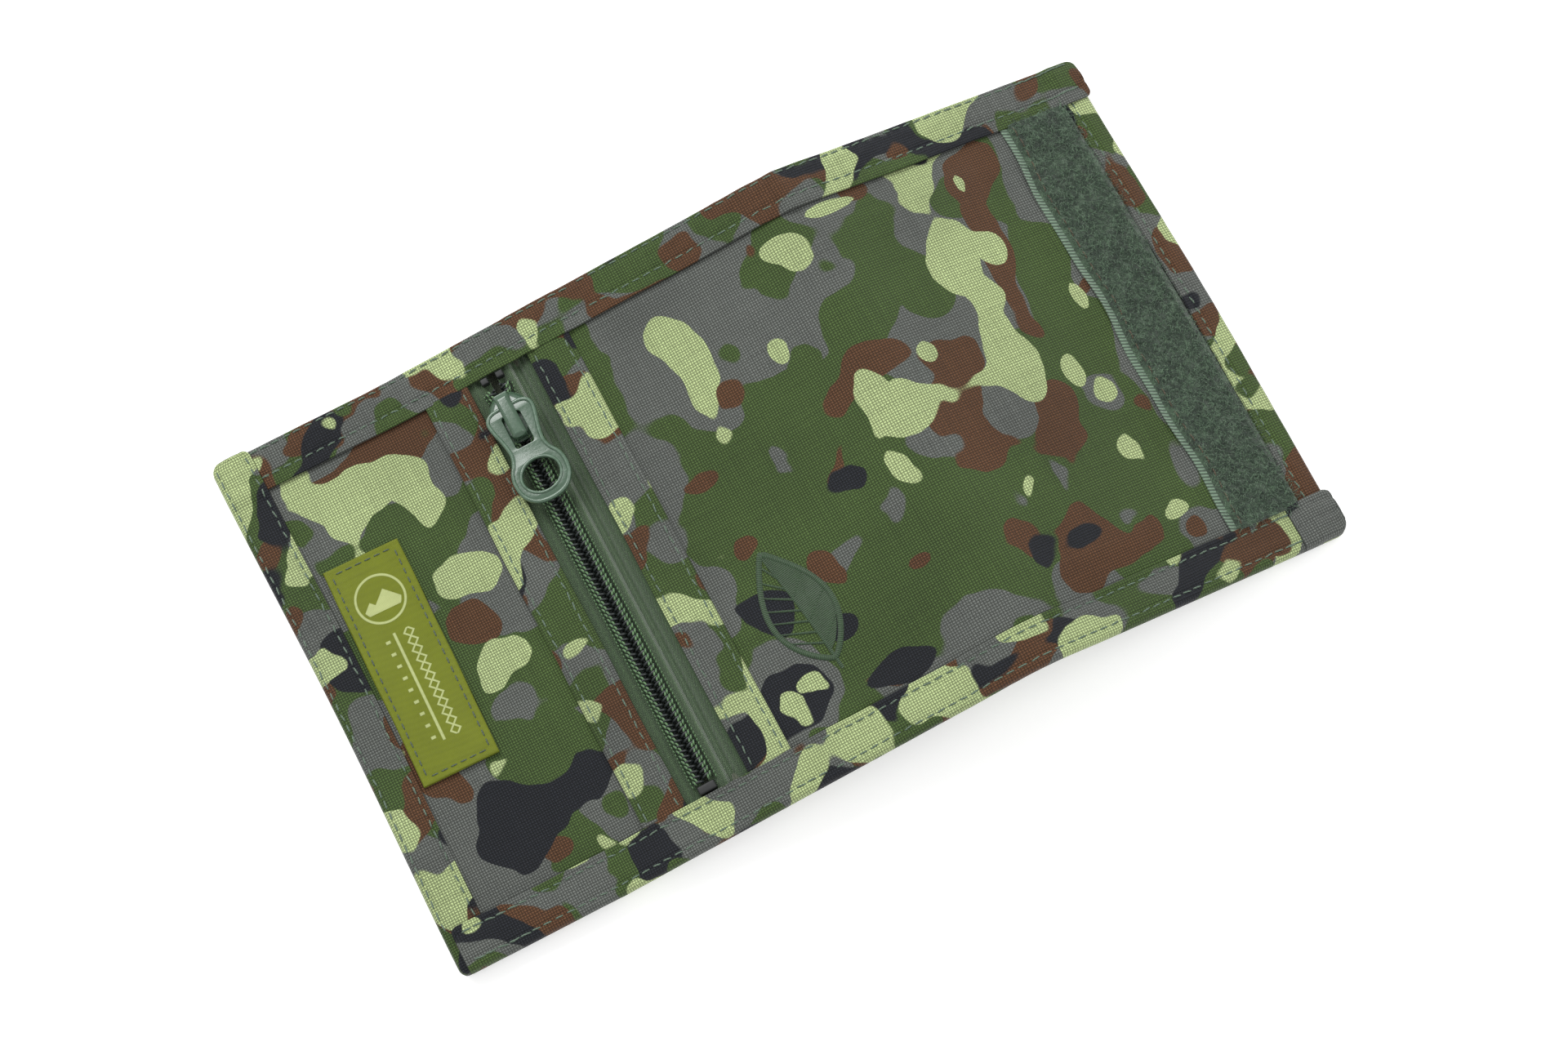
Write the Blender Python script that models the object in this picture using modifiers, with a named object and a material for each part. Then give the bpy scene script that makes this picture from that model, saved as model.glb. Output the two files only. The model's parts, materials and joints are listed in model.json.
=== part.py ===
"""A trifold wallet of coated cloth, opened and lying on its inner face, outer face up.

Three panels follow each other along +X: the closure flap, the back panel with the zipped coin
pocket, and the front panel with the loop tape. The top of the wallet is towards +Y. Each panel
has its own frame, an empty on the fold it turns about. In a panel's frame, x runs along the
panel, y along the fold, and n is the height above the inner side of the outer cloth.
The two folds are the wallet's hinges; the zip slider travels along y, and its puller flips over.
"""

import math

import bmesh
import bpy
from mathutils import Matrix, Vector

MM = 0.001

# Driving dimensions, in millimetres and degrees
HEIGHT = 130.0
FLAP_LENGTH = 41.0
BACK_LENGTH = 101.0
FRONT_LENGTH = 80.0
FLAP_SLOPE = 2.7
BACK_SLOPE = 8.7
FLAP_AXIS_DEPTH = 8.05
FRONT_AXIS_DEPTH = 4.7
FLAP_FOLD_GAP = 2.0
FRONT_FOLD_GAP = 1.2

# Cloth layers: lower and upper height of each, above the inner side of the outer cloth
GAP = 0.3
OUTER_CLOTH = (0.0, 0.6)
APPLIED_STRIP = (0.9, 1.6)
TAPE = (-0.8, -0.3)
COIL = (0.0, 2.0)
FLAP_LINING = (-0.7, -0.3)
COIN_BAG = (-2.6, -2.2)
BACK_LINING = (-3.3, -2.9)
BACK_BILL_WALL = (-4.0, -3.6)
CARD_POCKET_TOP = -4.3
CARD_POCKET_CLOTH = 0.4
CARD_POCKET_PITCH = 0.7
FRONT_BILL_WALL = (-1.5, -1.1)
ID_WINDOW = (-2.1, -1.8)
ID_WINDOW_TRIM = (-2.8, -2.4)
HOOK_TAPE = (-3.4, -2.0)
LOOP_TAPE = (0.9, 2.9)
LABEL = (0.9, 1.4)
BADGE = (0.9, 1.5)

# Edge bindings: a strip folded over the edge, as a channel
BINDING_OUTER = 1.6
BINDING_INNER = -1.7
BINDING_CLOTH = 0.7
BINDING_WIDTH = 9.5
BINDING_RIGHT_WIDTH = 6.5
BINDING_TOP_WIDTH = 10.6

# Layout across the panels, measured along x from the panel's own fold
PLACKET_LEFT = (8.7, 19.3)
PLACKET_RIGHT = (34.6, 45.2)
ZIP_CENTRE = 25.2
TAPE_WIDTH = 13.0
COIL_WIDTH = 2.15
CHAIN_GAP = 1.5
CHAIN_HALF_LENGTH = 51.7
STOP_LENGTH = 2.0
CARD_POCKET_X = (9.5, 97.5)
CARD_POCKET_MOUTHS = (6.0, -8.0, -22.0)
CARD_POCKET_FOOT = -53.5
ID_WINDOW_X = (8.0, 70.0)
ID_WINDOW_Y = (-50.0, 46.0)
ID_TRIM_WIDTH = 6.0
HOOK_X = (24.0, 40.0)
HOOK_HALF_LENGTH = 56.0
LOOP_X = (55.5, 73.0)
LABEL_SIZE = (18.3, 54.5)
LABEL_CENTRE = (-20.8, 3.6)
LABEL_TURN = 1.2
BADGE_SIZE = (15.4, 29.3)
BADGE_CENTRE = (61.2, -26.5)

# Zip slider and puller
SLIDER_NOSE = 48.5
SLIDER_LENGTH = 12.0
SLIDER_WIDTH = 9.0
SLIDER_TAIL_WIDTH = 7.6
SLIDER_TOP = (2.35, 3.35)
SLIDER_BOTTOM = (-2.0, -1.1)
SLIDER_POST_WIDTH = 0.9
SLIDER_SHOULDER_SHARE = (0.8, 0.66)
SLIDER_WING_SHARE = 0.1
SLIDER_POST_SHARES = (0.18, 0.42)
SLIDER_FLANGE_SHARES = (-0.46, 0.12)
SLIDER_FLANGE_WIDTH = 0.54
SLIDER_FLANGE_DEPTH = 1.4
SLIDER_JOIN = 0.3
SLIDER_BEVEL = 0.2
BRIDGE_WIDTH = 3.2
BRIDGE_CLEARANCE = 0.35
BRIDGE_THICKNESS = 1.0
BRIDGE_ENDS = (0.1, 0.9)
BRIDGE_LEG = 1.3
BRIDGE_LEG_INSET = 0.05
PULLER_AXIS_Y = 43.4
PULLER_AXIS_N = 4.4
PULLER_LENGTH = 22.0
PULLER_THICKNESS = 1.2
PULLER_SHOULDER = 10.2
PULLER_NECK = 7.2
PULLER_RING = 11.6
PULLER_HOLE = 8.4
PULLER_WINDOW = (4.6, 8.1)
PULLER_CROSSBAR = 1.4
PULLER_BEVEL = 0.2
PULLER_CORNER = 1.2
PULLER_SHOULDER_Y = -1.0
PULLER_TAPER = (0.4, -7.0)
PULLER_NECK_Y = -10.0

# Colours as linear RGB
CAMOUFLAGE = (0.10, 0.14, 0.06)
BINDING_GREEN = (0.12, 0.14, 0.09)
LINING_OLIVE = (0.055, 0.065, 0.035)
ZIP_BLACK = (0.015, 0.018, 0.016)
TAPE_GREEN = (0.06, 0.11, 0.06)
ENAMEL_GREEN = (0.17, 0.26, 0.19)
PILE_GREEN = (0.05, 0.09, 0.06)
LABEL_YELLOW = (0.21, 0.23, 0.02)
BADGE_GREEN = (0.02, 0.06, 0.015)
CLEAR_FILM = (0.80, 0.84, 0.82)


def clear_scene():
    for old in list(bpy.data.objects):
        bpy.data.objects.remove(old)


def collection(name):
    made = bpy.data.collections.new(name)
    bpy.context.scene.collection.children.link(made)
    return made


def material(name, colour, roughness, metallic=0.0):
    made = bpy.data.materials.new(name)
    made.use_nodes = True
    shader = made.node_tree.nodes["Principled BSDF"]
    shader.inputs["Base Color"].default_value = (*colour, 1.0)
    shader.inputs["Roughness"].default_value = roughness
    shader.inputs["Metallic"].default_value = metallic
    return made


def front_slope():
    """The front panel's slope that brings the lower corner of its free edge to the table."""
    fold_height = fold_points()[1].z
    reach = FRONT_LENGTH
    drop = FRONT_AXIS_DEPTH + BINDING_INNER
    return math.asin(fold_height / math.hypot(reach, drop)) + math.atan2(drop, reach)


def fold_points():
    """The two fold axes in the XZ plane, with the flap's hook tape touching the table."""
    flap = math.radians(FLAP_SLOPE)
    back = math.radians(BACK_SLOPE)
    hook_bottom = FLAP_AXIS_DEPTH + HOOK_TAPE[0]
    first_z = HOOK_X[1] * math.sin(flap) - hook_bottom * math.cos(flap)
    first = Vector((0.0, 0.0, first_z))
    along = Vector((math.cos(back), 0.0, math.sin(back)))
    upward = Vector((-math.sin(back), 0.0, math.cos(back)))
    second = first + along * BACK_LENGTH + upward * (FLAP_AXIS_DEPTH - FRONT_AXIS_DEPTH)
    return first, second


def centre_shift():
    """How far the folds move along x so that the whole wallet is centred on the origin."""
    first, second = fold_points()
    flap = math.radians(FLAP_SLOPE)
    front = front_slope()
    left_height = FLAP_AXIS_DEPTH + BINDING_OUTER
    right_height = FRONT_AXIS_DEPTH + BINDING_OUTER
    left = first.x - FLAP_LENGTH * math.cos(flap) - left_height * math.sin(flap)
    right = second.x + FRONT_LENGTH * math.cos(front) + right_height * math.sin(front)
    return -(left + right) / 2


def frame_empty(name, parent_collection, point, slope, parent=None):
    """An empty on an axis. The slope is the panel's rise along +X, in radians."""
    empty = bpy.data.objects.new(name, None)
    parent_collection.objects.link(empty)
    empty.location = point * MM
    empty.rotation_euler = (0.0, -slope, 0.0)
    empty.parent = parent
    return empty


def finish(piece, frame, finish_material):
    """Puts a piece into the wallet's collection, in its panel's frame, with its material."""
    for owner in list(piece.users_collection):
        owner.objects.unlink(piece)
    WALLET.objects.link(piece)
    piece.parent = frame["empty"]
    piece.data.materials.clear()
    piece.data.materials.append(finish_material)
    return piece


def plate(name, frame, across, along, layer, finish_material, corner=0.0, turn=0.0):
    """A flat piece of cloth: x range, y range and height range, with rounded corners."""
    bpy.ops.mesh.primitive_cube_add(size=1.0)
    piece = bpy.context.object
    piece.name = name
    piece.data.name = name
    size = (across[1] - across[0], along[1] - along[0], layer[1] - layer[0])
    piece.data.transform(Matrix.Diagonal((*(side * MM for side in size), 1.0)))
    if corner:
        round_corners(piece.data, corner)
    middle = [(low + high) / 2 for low, high in (across, along, layer)]
    piece.location = Vector((middle[0], middle[1], middle[2] + frame["depth"])) * MM
    piece.rotation_euler = (0.0, 0.0, math.radians(turn))
    return finish(piece, frame, finish_material)


def round_corners(mesh, radius, segments=4):
    """Rounds the four edges of a plate that stand along its thickness."""
    work = bmesh.new()
    work.from_mesh(mesh)
    upright = [e for e in work.edges if abs(e.verts[0].co.z - e.verts[1].co.z) > 1e-6]
    bmesh.ops.bevel(
        work, geom=upright, offset=radius * MM, segments=segments, profile=0.5, affect="EDGES"
    )
    work.to_mesh(mesh)
    work.free()


def binding(name, frame, edge, reach, width, start, end, finish_material):
    """A folded strip over an edge. The fold runs along edge, the letter of the frame's axis.

    reach is where the panel's edge lies on the other axis, and its sign says which side.
    """
    side = 1.0 if reach > 0 else -1.0
    inset = BINDING_CLOTH
    profile = [
        (reach - side * width, BINDING_OUTER),
        (reach, BINDING_OUTER),
        (reach, BINDING_INNER),
        (reach - side * (width - inset), BINDING_INNER),
    ]
    work = bmesh.new()
    lifted = [(place * MM, (height + frame["depth"]) * MM) for place, height in profile]
    if edge == "x":
        corners = [work.verts.new((start * MM, place, height)) for place, height in lifted]
        sweep = Vector(((end - start) * MM, 0.0, 0.0))
    else:
        corners = [work.verts.new((place, start * MM, height)) for place, height in lifted]
        sweep = Vector((0.0, (end - start) * MM, 0.0))
    edges = [work.edges.new(pair) for pair in zip(corners, corners[1:])]
    swept = bmesh.ops.extrude_edge_only(work, edges=edges)
    moved = [part for part in swept["geom"] if isinstance(part, bmesh.types.BMVert)]
    bmesh.ops.translate(work, verts=moved, vec=sweep)
    inward = Vector((0.0, -side, 0.0)) if edge == "x" else Vector((-side, 0.0, 0.0))
    wall = max(work.faces, key=lambda face: abs(face.normal.dot(inward)))
    if wall.normal.dot(inward) > 0:
        bmesh.ops.reverse_faces(work, faces=work.faces[:])
    mesh = bpy.data.meshes.new(name)
    work.to_mesh(mesh)
    work.free()
    piece = bpy.data.objects.new(name, mesh)
    fold = piece.modifiers.new("cloth", "SOLIDIFY")
    fold.thickness = BINDING_CLOTH * MM
    fold.offset = -1.0
    fold.use_even_offset = True
    return finish(piece, frame, finish_material)


def flat_outline(name, splines, layer, frame, bevel=0.0):
    """A flat plate from closed outlines: the first is its rim and the others are holes.

    Each spline is a list of (x, y, handle) points, with handle VECTOR or AUTO.
    """
    curve = bpy.data.curves.new(name, "CURVE")
    curve.dimensions = "2D"
    curve.fill_mode = "BOTH"
    curve.extrude = (layer[1] - layer[0]) / 2 * MM - bevel * MM
    curve.bevel_depth = bevel * MM
    curve.bevel_resolution = 1
    curve.resolution_u = 6
    for points in splines:
        spline = curve.splines.new("BEZIER")
        spline.bezier_points.add(len(points) - 1)
        spline.use_cyclic_u = True
        for target, (x, y, handle) in zip(spline.bezier_points, points):
            target.co = (x * MM, y * MM, 0.0)
            target.handle_left_type = handle
            target.handle_right_type = handle
    outline = bpy.data.objects.new(name, curve)
    bpy.context.scene.collection.objects.link(outline)
    bpy.context.view_layer.update()
    evaluated = outline.evaluated_get(bpy.context.evaluated_depsgraph_get())
    mesh = bpy.data.meshes.new_from_object(evaluated)
    bpy.data.objects.remove(outline)
    work = bmesh.new()
    work.from_mesh(mesh)
    bmesh.ops.remove_doubles(work, verts=work.verts[:], dist=1e-6)
    bmesh.ops.recalc_face_normals(work, faces=work.faces[:])
    middle = (layer[0] + layer[1]) / 2 + frame["depth"]
    bmesh.ops.translate(work, verts=work.verts[:], vec=(0.0, 0.0, middle * MM))
    work.to_mesh(mesh)
    work.free()
    mesh.name = name
    return bpy.data.objects.new(name, mesh)


def circle_points(centre, radius):
    """Four points of a round hole, with smooth handles."""
    x, y = centre
    around = [(1, 0), (0, 1), (-1, 0), (0, -1)]
    return [(x + radius * dx, y + radius * dy, "AUTO") for dx, dy in around]


def box_points(x_range, y_range):
    """Four corners of a rectangular outline, with straight sides."""
    (left, right), (low, high) = x_range, y_range
    corners = [(left, low), (right, low), (right, high), (left, high)]
    return [(x, y, "VECTOR") for x, y in corners]


def join_with(piece, others):
    """Joins solids that cut into each other into one body, with Boolean unions."""
    for other in others:
        CUTTERS.objects.link(other)
        other.parent = piece.parent
        other.hide_render = True
        other.display_type = "WIRE"
        union = piece.modifiers.new(other.name, "BOOLEAN")
        union.operation = "UNION"
        union.object = other
    return piece


def block(name, frame, across, along, layer):
    """A plain block in a frame, used as part of a larger piece."""
    mesh = bpy.data.meshes.new(name)
    work = bmesh.new()
    bmesh.ops.create_cube(work, size=1.0)
    size = [(high - low) * MM for low, high in (across, along, layer)]
    middle = [(low + high) / 2 * MM for low, high in (across, along, layer)]
    middle[2] += frame["depth"] * MM
    bmesh.ops.scale(work, vec=size, verts=work.verts[:])
    bmesh.ops.translate(work, vec=middle, verts=work.verts[:])
    work.to_mesh(mesh)
    work.free()
    return bpy.data.objects.new(name, mesh)


def make_materials():
    return {
        "cloth": material("camouflage_cloth", CAMOUFLAGE, 0.85),
        "binding": material("binding_cloth", BINDING_GREEN, 0.85),
        "lining": material("lining_cloth", LINING_OLIVE, 0.75),
        "coil": material("zip_coil", ZIP_BLACK, 0.4),
        "tape": material("zip_tape", TAPE_GREEN, 0.8),
        "enamel": material("slider_enamel", ENAMEL_GREEN, 0.3),
        "pile": material("hook_and_loop", PILE_GREEN, 0.95),
        "label": material("woven_label", LABEL_YELLOW, 0.6),
        "thread": material("embroidery_thread", BADGE_GREEN, 0.5),
        "film": material("clear_film", CLEAR_FILM, 0.15),
    }


def make_closure_flap(frame, finishes):
    edge = HEIGHT / 2
    cloth_edge = edge - BINDING_CLOTH - GAP
    free = -(FLAP_LENGTH - BINDING_CLOTH - GAP)
    body = (free, -FLAP_FOLD_GAP)
    rounded = 1.5
    plate("flap_cloth", frame, body, (-cloth_edge, cloth_edge), OUTER_CLOTH, finishes["cloth"])
    plate("flap_lining", frame, body, (-cloth_edge, cloth_edge), FLAP_LINING, finishes["lining"])
    label_x = [LABEL_CENTRE[0] + side * LABEL_SIZE[0] / 2 for side in (-1, 1)]
    label_y = [LABEL_CENTRE[1] + side * LABEL_SIZE[1] / 2 for side in (-1, 1)]
    plate("woven_label", frame, label_x, label_y, LABEL, finishes["label"], 0.8, -LABEL_TURN)
    hook_x = (-HOOK_X[1], -HOOK_X[0])
    hook_y = (-HOOK_HALF_LENGTH, HOOK_HALF_LENGTH)
    plate("hook_tape", frame, hook_x, hook_y, HOOK_TAPE, finishes["pile"], rounded)
    binding(
        "binding_left", frame, "y", -FLAP_LENGTH, BINDING_WIDTH, -edge, edge, finishes["binding"]
    )
    start = -FLAP_LENGTH + BINDING_WIDTH + GAP
    for name, side in (("top", 1), ("bottom", -1)):
        binding(
            f"flap_binding_{name}", frame, "x", side * edge, BINDING_TOP_WIDTH, start,
            -FLAP_FOLD_GAP, finishes["binding"],
        )


def make_back_cloth(frame, finishes):
    edge = HEIGHT / 2
    cloth_edge = edge - BINDING_CLOTH - GAP
    strip_edge = edge - BINDING_TOP_WIDTH - GAP
    left = (FLAP_FOLD_GAP, PLACKET_LEFT[1])
    main = (PLACKET_RIGHT[0], BACK_LENGTH - FRONT_FOLD_GAP)
    along = (-cloth_edge, cloth_edge)
    strip_along = (-strip_edge, strip_edge)
    plate("back_cloth_left", frame, left, along, OUTER_CLOTH, finishes["cloth"])
    plate("back_cloth_main", frame, main, along, OUTER_CLOTH, finishes["cloth"])
    plate("placket_left", frame, PLACKET_LEFT, strip_along, APPLIED_STRIP, finishes["binding"])
    plate("placket_right", frame, PLACKET_RIGHT, strip_along, APPLIED_STRIP, finishes["binding"])
    for name, side in (("top", 1), ("bottom", -1)):
        binding(
            f"back_binding_{name}", frame, "x", side * edge, BINDING_TOP_WIDTH, FLAP_FOLD_GAP,
            BACK_LENGTH - FRONT_FOLD_GAP, finishes["binding"],
        )
    make_badge(frame, finishes)


def make_badge(frame, finishes):
    """The embroidery: a leaf outline with pointed ends."""
    x, y = BADGE_CENTRE
    half_x, half_y = BADGE_SIZE[0] / 2, BADGE_SIZE[1] / 2
    rim = [
        (x, y - half_y, "VECTOR"),
        (x + half_x, y, "AUTO"),
        (x, y + half_y, "VECTOR"),
        (x - half_x, y, "AUTO"),
    ]
    badge = flat_outline("embroidered_badge", [rim], BADGE, frame)
    finish(badge, frame, finishes["thread"])


def make_zip(frame, finishes):
    half = HEIGHT / 2 - BINDING_CLOTH - GAP
    chain = (-CHAIN_HALF_LENGTH, CHAIN_HALF_LENGTH)
    stop_low = CHAIN_HALF_LENGTH + GAP
    stop_high = stop_low + STOP_LENGTH
    for name, side in (("left", -1), ("right", 1)):
        inner = ZIP_CENTRE + side * CHAIN_GAP / 2
        tape = sorted((inner + side * GAP, inner + side * TAPE_WIDTH))
        coil = sorted((inner, inner + side * COIL_WIDTH))
        plate(f"zip_tape_{name}", frame, tape, (-half, half), TAPE, finishes["tape"])
        plate(f"zip_coil_{name}", frame, coil, chain, COIL, finishes["coil"], 0.3)
        stop = (stop_low, stop_high)
        plate(f"zip_top_stop_{name}", frame, coil, stop, COIL, finishes["coil"], 0.4)
    foot_x = (ZIP_CENTRE - COIL_WIDTH, ZIP_CENTRE + COIL_WIDTH)
    foot_y = (-stop_high, -stop_low)
    plate("zip_bottom_stop", frame, foot_x, foot_y, COIL, finishes["coil"], 0.4)


def make_back_pockets(frame, finishes):
    inner_edge = HEIGHT / 2 - BINDING_TOP_WIDTH + BINDING_CLOTH - GAP
    along = (-inner_edge, inner_edge)
    body = (FLAP_FOLD_GAP, BACK_LENGTH - FRONT_FOLD_GAP)
    bag = (2 * FLAP_FOLD_GAP, BACK_LENGTH - 2 * FLAP_FOLD_GAP)
    plate("coin_pocket_bag", frame, bag, along, COIN_BAG, finishes["lining"], 3.0)
    plate("back_lining", frame, body, along, BACK_LINING, finishes["lining"])
    plate("back_bill_wall", frame, body, along, BACK_BILL_WALL, finishes["cloth"])
    for index, mouth in enumerate(CARD_POCKET_MOUTHS):
        top = CARD_POCKET_TOP - index * CARD_POCKET_PITCH
        layer = (top - CARD_POCKET_CLOTH, top)
        pocket_y = (CARD_POCKET_FOOT, mouth)
        name = f"card_pocket_{index + 1}"
        plate(name, frame, CARD_POCKET_X, pocket_y, layer, finishes["cloth"])


def make_front_panel(frame, finishes):
    edge = HEIGHT / 2
    cloth_edge = edge - BINDING_CLOTH - GAP
    inner_edge = edge - BINDING_TOP_WIDTH + BINDING_CLOTH - GAP
    free = FRONT_LENGTH - BINDING_CLOTH - GAP
    body = (FRONT_FOLD_GAP, free)
    along = (-cloth_edge, cloth_edge)
    plate("front_cloth", frame, body, along, OUTER_CLOTH, finishes["cloth"])
    plate("front_lining", frame, body, along, FLAP_LINING, finishes["lining"])
    wall_x = (FRONT_FOLD_GAP, FRONT_LENGTH - BINDING_RIGHT_WIDTH)
    wall_y = (-inner_edge, inner_edge)
    plate("front_bill_wall", frame, wall_x, wall_y, FRONT_BILL_WALL, finishes["cloth"])
    plate("id_window_film", frame, ID_WINDOW_X, ID_WINDOW_Y, ID_WINDOW, finishes["film"], 2.0)
    trim_y = (ID_WINDOW_Y[1] - ID_TRIM_WIDTH, ID_WINDOW_Y[1])
    plate("id_window_trim", frame, ID_WINDOW_X, trim_y, ID_WINDOW_TRIM, finishes["binding"])
    strip_edge = edge - BINDING_TOP_WIDTH - GAP
    plate("loop_tape", frame, LOOP_X, (-strip_edge, strip_edge), LOOP_TAPE, finishes["pile"])
    binding(
        "binding_right", frame, "y", FRONT_LENGTH, BINDING_RIGHT_WIDTH, -edge, edge,
        finishes["binding"],
    )
    end = FRONT_LENGTH - BINDING_RIGHT_WIDTH - GAP
    for name, side in (("top", 1), ("bottom", -1)):
        binding(
            f"front_binding_{name}", frame, "x", side * edge, BINDING_TOP_WIDTH, FRONT_FOLD_GAP,
            end, finishes["binding"],
        )


def slider_outline(shrink=0.0):
    """The rim of a slider plate, about the slider's own middle: a round nose and a narrower tail."""
    nose = SLIDER_LENGTH / 2 - shrink
    wing = SLIDER_WIDTH / 2 - shrink
    tail = SLIDER_TAIL_WIDTH / 2 - shrink
    shoulder_x, shoulder_y = (size * share for size, share in zip((wing, nose), SLIDER_SHOULDER_SHARE))
    wing_y = nose * SLIDER_WING_SHARE
    return [
        (0.0, nose, "AUTO"),
        (-shoulder_x, shoulder_y, "AUTO"),
        (-wing, wing_y, "AUTO"),
        (-tail, -nose, "VECTOR"),
        (tail, -nose, "VECTOR"),
        (wing, wing_y, "AUTO"),
        (shoulder_x, shoulder_y, "AUTO"),
    ]


def make_slider(frame, finishes):
    """Two plates around the chain, joined by a thin post, with a bridge for the puller on top."""
    top = flat_outline("slider_body", [slider_outline()], SLIDER_TOP, frame, SLIDER_BEVEL)
    lower_rim = slider_outline(SLIDER_JOIN)
    bottom = flat_outline("slider_bottom", [lower_rim], SLIDER_BOTTOM, frame, SLIDER_BEVEL)
    post_x = (-SLIDER_POST_WIDTH / 2, SLIDER_POST_WIDTH / 2)
    post_y = [SLIDER_LENGTH * share for share in SLIDER_POST_SHARES]
    post_n = (SLIDER_BOTTOM[0] + SLIDER_BEVEL, SLIDER_TOP[1] - SLIDER_BEVEL)
    post = block("slider_post", frame, post_x, post_y, post_n)
    parts = [bottom, post]
    flange_in = CHAIN_GAP / 2 + COIL_WIDTH + GAP
    for side in (-1, 1):
        flange_x = sorted((side * flange_in, side * (flange_in + SLIDER_FLANGE_WIDTH)))
        flange_y = [SLIDER_LENGTH * share for share in SLIDER_FLANGE_SHARES]
        flange_n = (SLIDER_TOP[0] - SLIDER_FLANGE_DEPTH, SLIDER_TOP[1] - SLIDER_JOIN)
        parts.append(block("slider_flange", frame, flange_x, flange_y, flange_n))
    under = PULLER_AXIS_N + PULLER_CROSSBAR / 2 + BRIDGE_CLEARANCE
    bridge_x = (-BRIDGE_WIDTH / 2, BRIDGE_WIDTH / 2)
    bar_y = (-SLIDER_LENGTH / 2 + BRIDGE_ENDS[0], SLIDER_LENGTH / 2 - BRIDGE_ENDS[1])
    parts.append(block("bridge_bar", frame, bridge_x, bar_y, (under, under + BRIDGE_THICKNESS)))
    inset = BRIDGE_LEG_INSET
    legs = [(bar_y[0] + inset, bar_y[0] + BRIDGE_LEG), (bar_y[1] - BRIDGE_LEG, bar_y[1] - inset)]
    inset_x = (bridge_x[0] + inset, bridge_x[1] - inset)
    for leg_y in legs:
        leg_n = (SLIDER_TOP[1] - SLIDER_JOIN, under + BRIDGE_THICKNESS / 2)
        parts.append(block("bridge_leg", frame, inset_x, leg_y, leg_n))
    finish(top, frame, finishes["enamel"])
    join_with(top, parts)


def make_puller(frame, finishes):
    """A plate that hangs from its crossbar towards -y: shoulders, a neck and a ring end."""
    ring_y = -(PULLER_LENGTH - PULLER_RING / 2)
    shoulder = PULLER_SHOULDER / 2
    neck = PULLER_NECK / 2
    ring = PULLER_RING / 2
    half = [
        (shoulder - PULLER_CORNER, PULLER_CROSSBAR / 2, "VECTOR"),
        (shoulder, PULLER_SHOULDER_Y, "AUTO"),
        (neck + PULLER_TAPER[0], PULLER_TAPER[1], "AUTO"),
        (neck, PULLER_NECK_Y, "AUTO"),
        (ring, ring_y, "AUTO"),
    ]
    rim = [(-x, y, handle) for x, y, handle in half]
    rim += [(0.0, -PULLER_LENGTH, "AUTO")]
    rim += reversed(half)
    hole = circle_points((0.0, ring_y), PULLER_HOLE / 2)
    window_x = (-PULLER_WINDOW[0] / 2, PULLER_WINDOW[0] / 2)
    window = box_points(window_x, (-PULLER_CROSSBAR / 2 - PULLER_WINDOW[1], -PULLER_CROSSBAR / 2))
    layer = (-PULLER_THICKNESS / 2, PULLER_THICKNESS / 2)
    puller = flat_outline("puller", [rim, hole, window], layer, frame, PULLER_BEVEL)
    finish(puller, frame, finishes["enamel"])


clear_scene()
WALLET = collection("trifold_wallet")
CUTTERS = collection("cutters")
FINISHES = make_materials()

FIRST_FOLD, SECOND_FOLD = fold_points()
SHIFT = Vector((centre_shift(), 0.0, 0.0))
FLAP_EMPTY = frame_empty("flap_fold", WALLET, FIRST_FOLD + SHIFT, math.radians(FLAP_SLOPE))
BACK_EMPTY = frame_empty("back_frame", WALLET, FIRST_FOLD + SHIFT, math.radians(BACK_SLOPE))
FRONT_EMPTY = frame_empty("front_fold", WALLET, SECOND_FOLD + SHIFT, -front_slope())
SLIDER_POINT = Vector((ZIP_CENTRE, SLIDER_NOSE - SLIDER_LENGTH / 2, 0.0))
SLIDER_EMPTY = frame_empty("slider_frame", WALLET, SLIDER_POINT, 0.0, BACK_EMPTY)
PULLER_POINT = Vector((0.0, PULLER_AXIS_Y - SLIDER_POINT.y, PULLER_AXIS_N + FLAP_AXIS_DEPTH))
PULLER_EMPTY = frame_empty("puller_pivot", WALLET, PULLER_POINT, 0.0, SLIDER_EMPTY)

FLAP = {"empty": FLAP_EMPTY, "depth": FLAP_AXIS_DEPTH}
BACK = {"empty": BACK_EMPTY, "depth": FLAP_AXIS_DEPTH}
FRONT = {"empty": FRONT_EMPTY, "depth": FRONT_AXIS_DEPTH}
SLIDER = {"empty": SLIDER_EMPTY, "depth": FLAP_AXIS_DEPTH}
PULLER = {"empty": PULLER_EMPTY, "depth": 0.0}

make_closure_flap(FLAP, FINISHES)
make_back_cloth(BACK, FINISHES)
make_zip(BACK, FINISHES)
make_back_pockets(BACK, FINISHES)
make_front_panel(FRONT, FINISHES)
make_slider(SLIDER, FINISHES)
make_puller(PULLER, FINISHES)
bpy.context.view_layer.update()
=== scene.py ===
"""The looks of a trifold wallet: printed camouflage cloth, bound edges, a zip, a label and a badge.

Every piece lies on one surface, the rest shape of the outer cloth. Its coordinates are in
millimetres: u runs along the wallet from the flap's free edge, y up the wallet, and n out of the
outer cloth's inner side. The three panels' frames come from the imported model's joints and mounts.
"""

import json
import math

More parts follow.
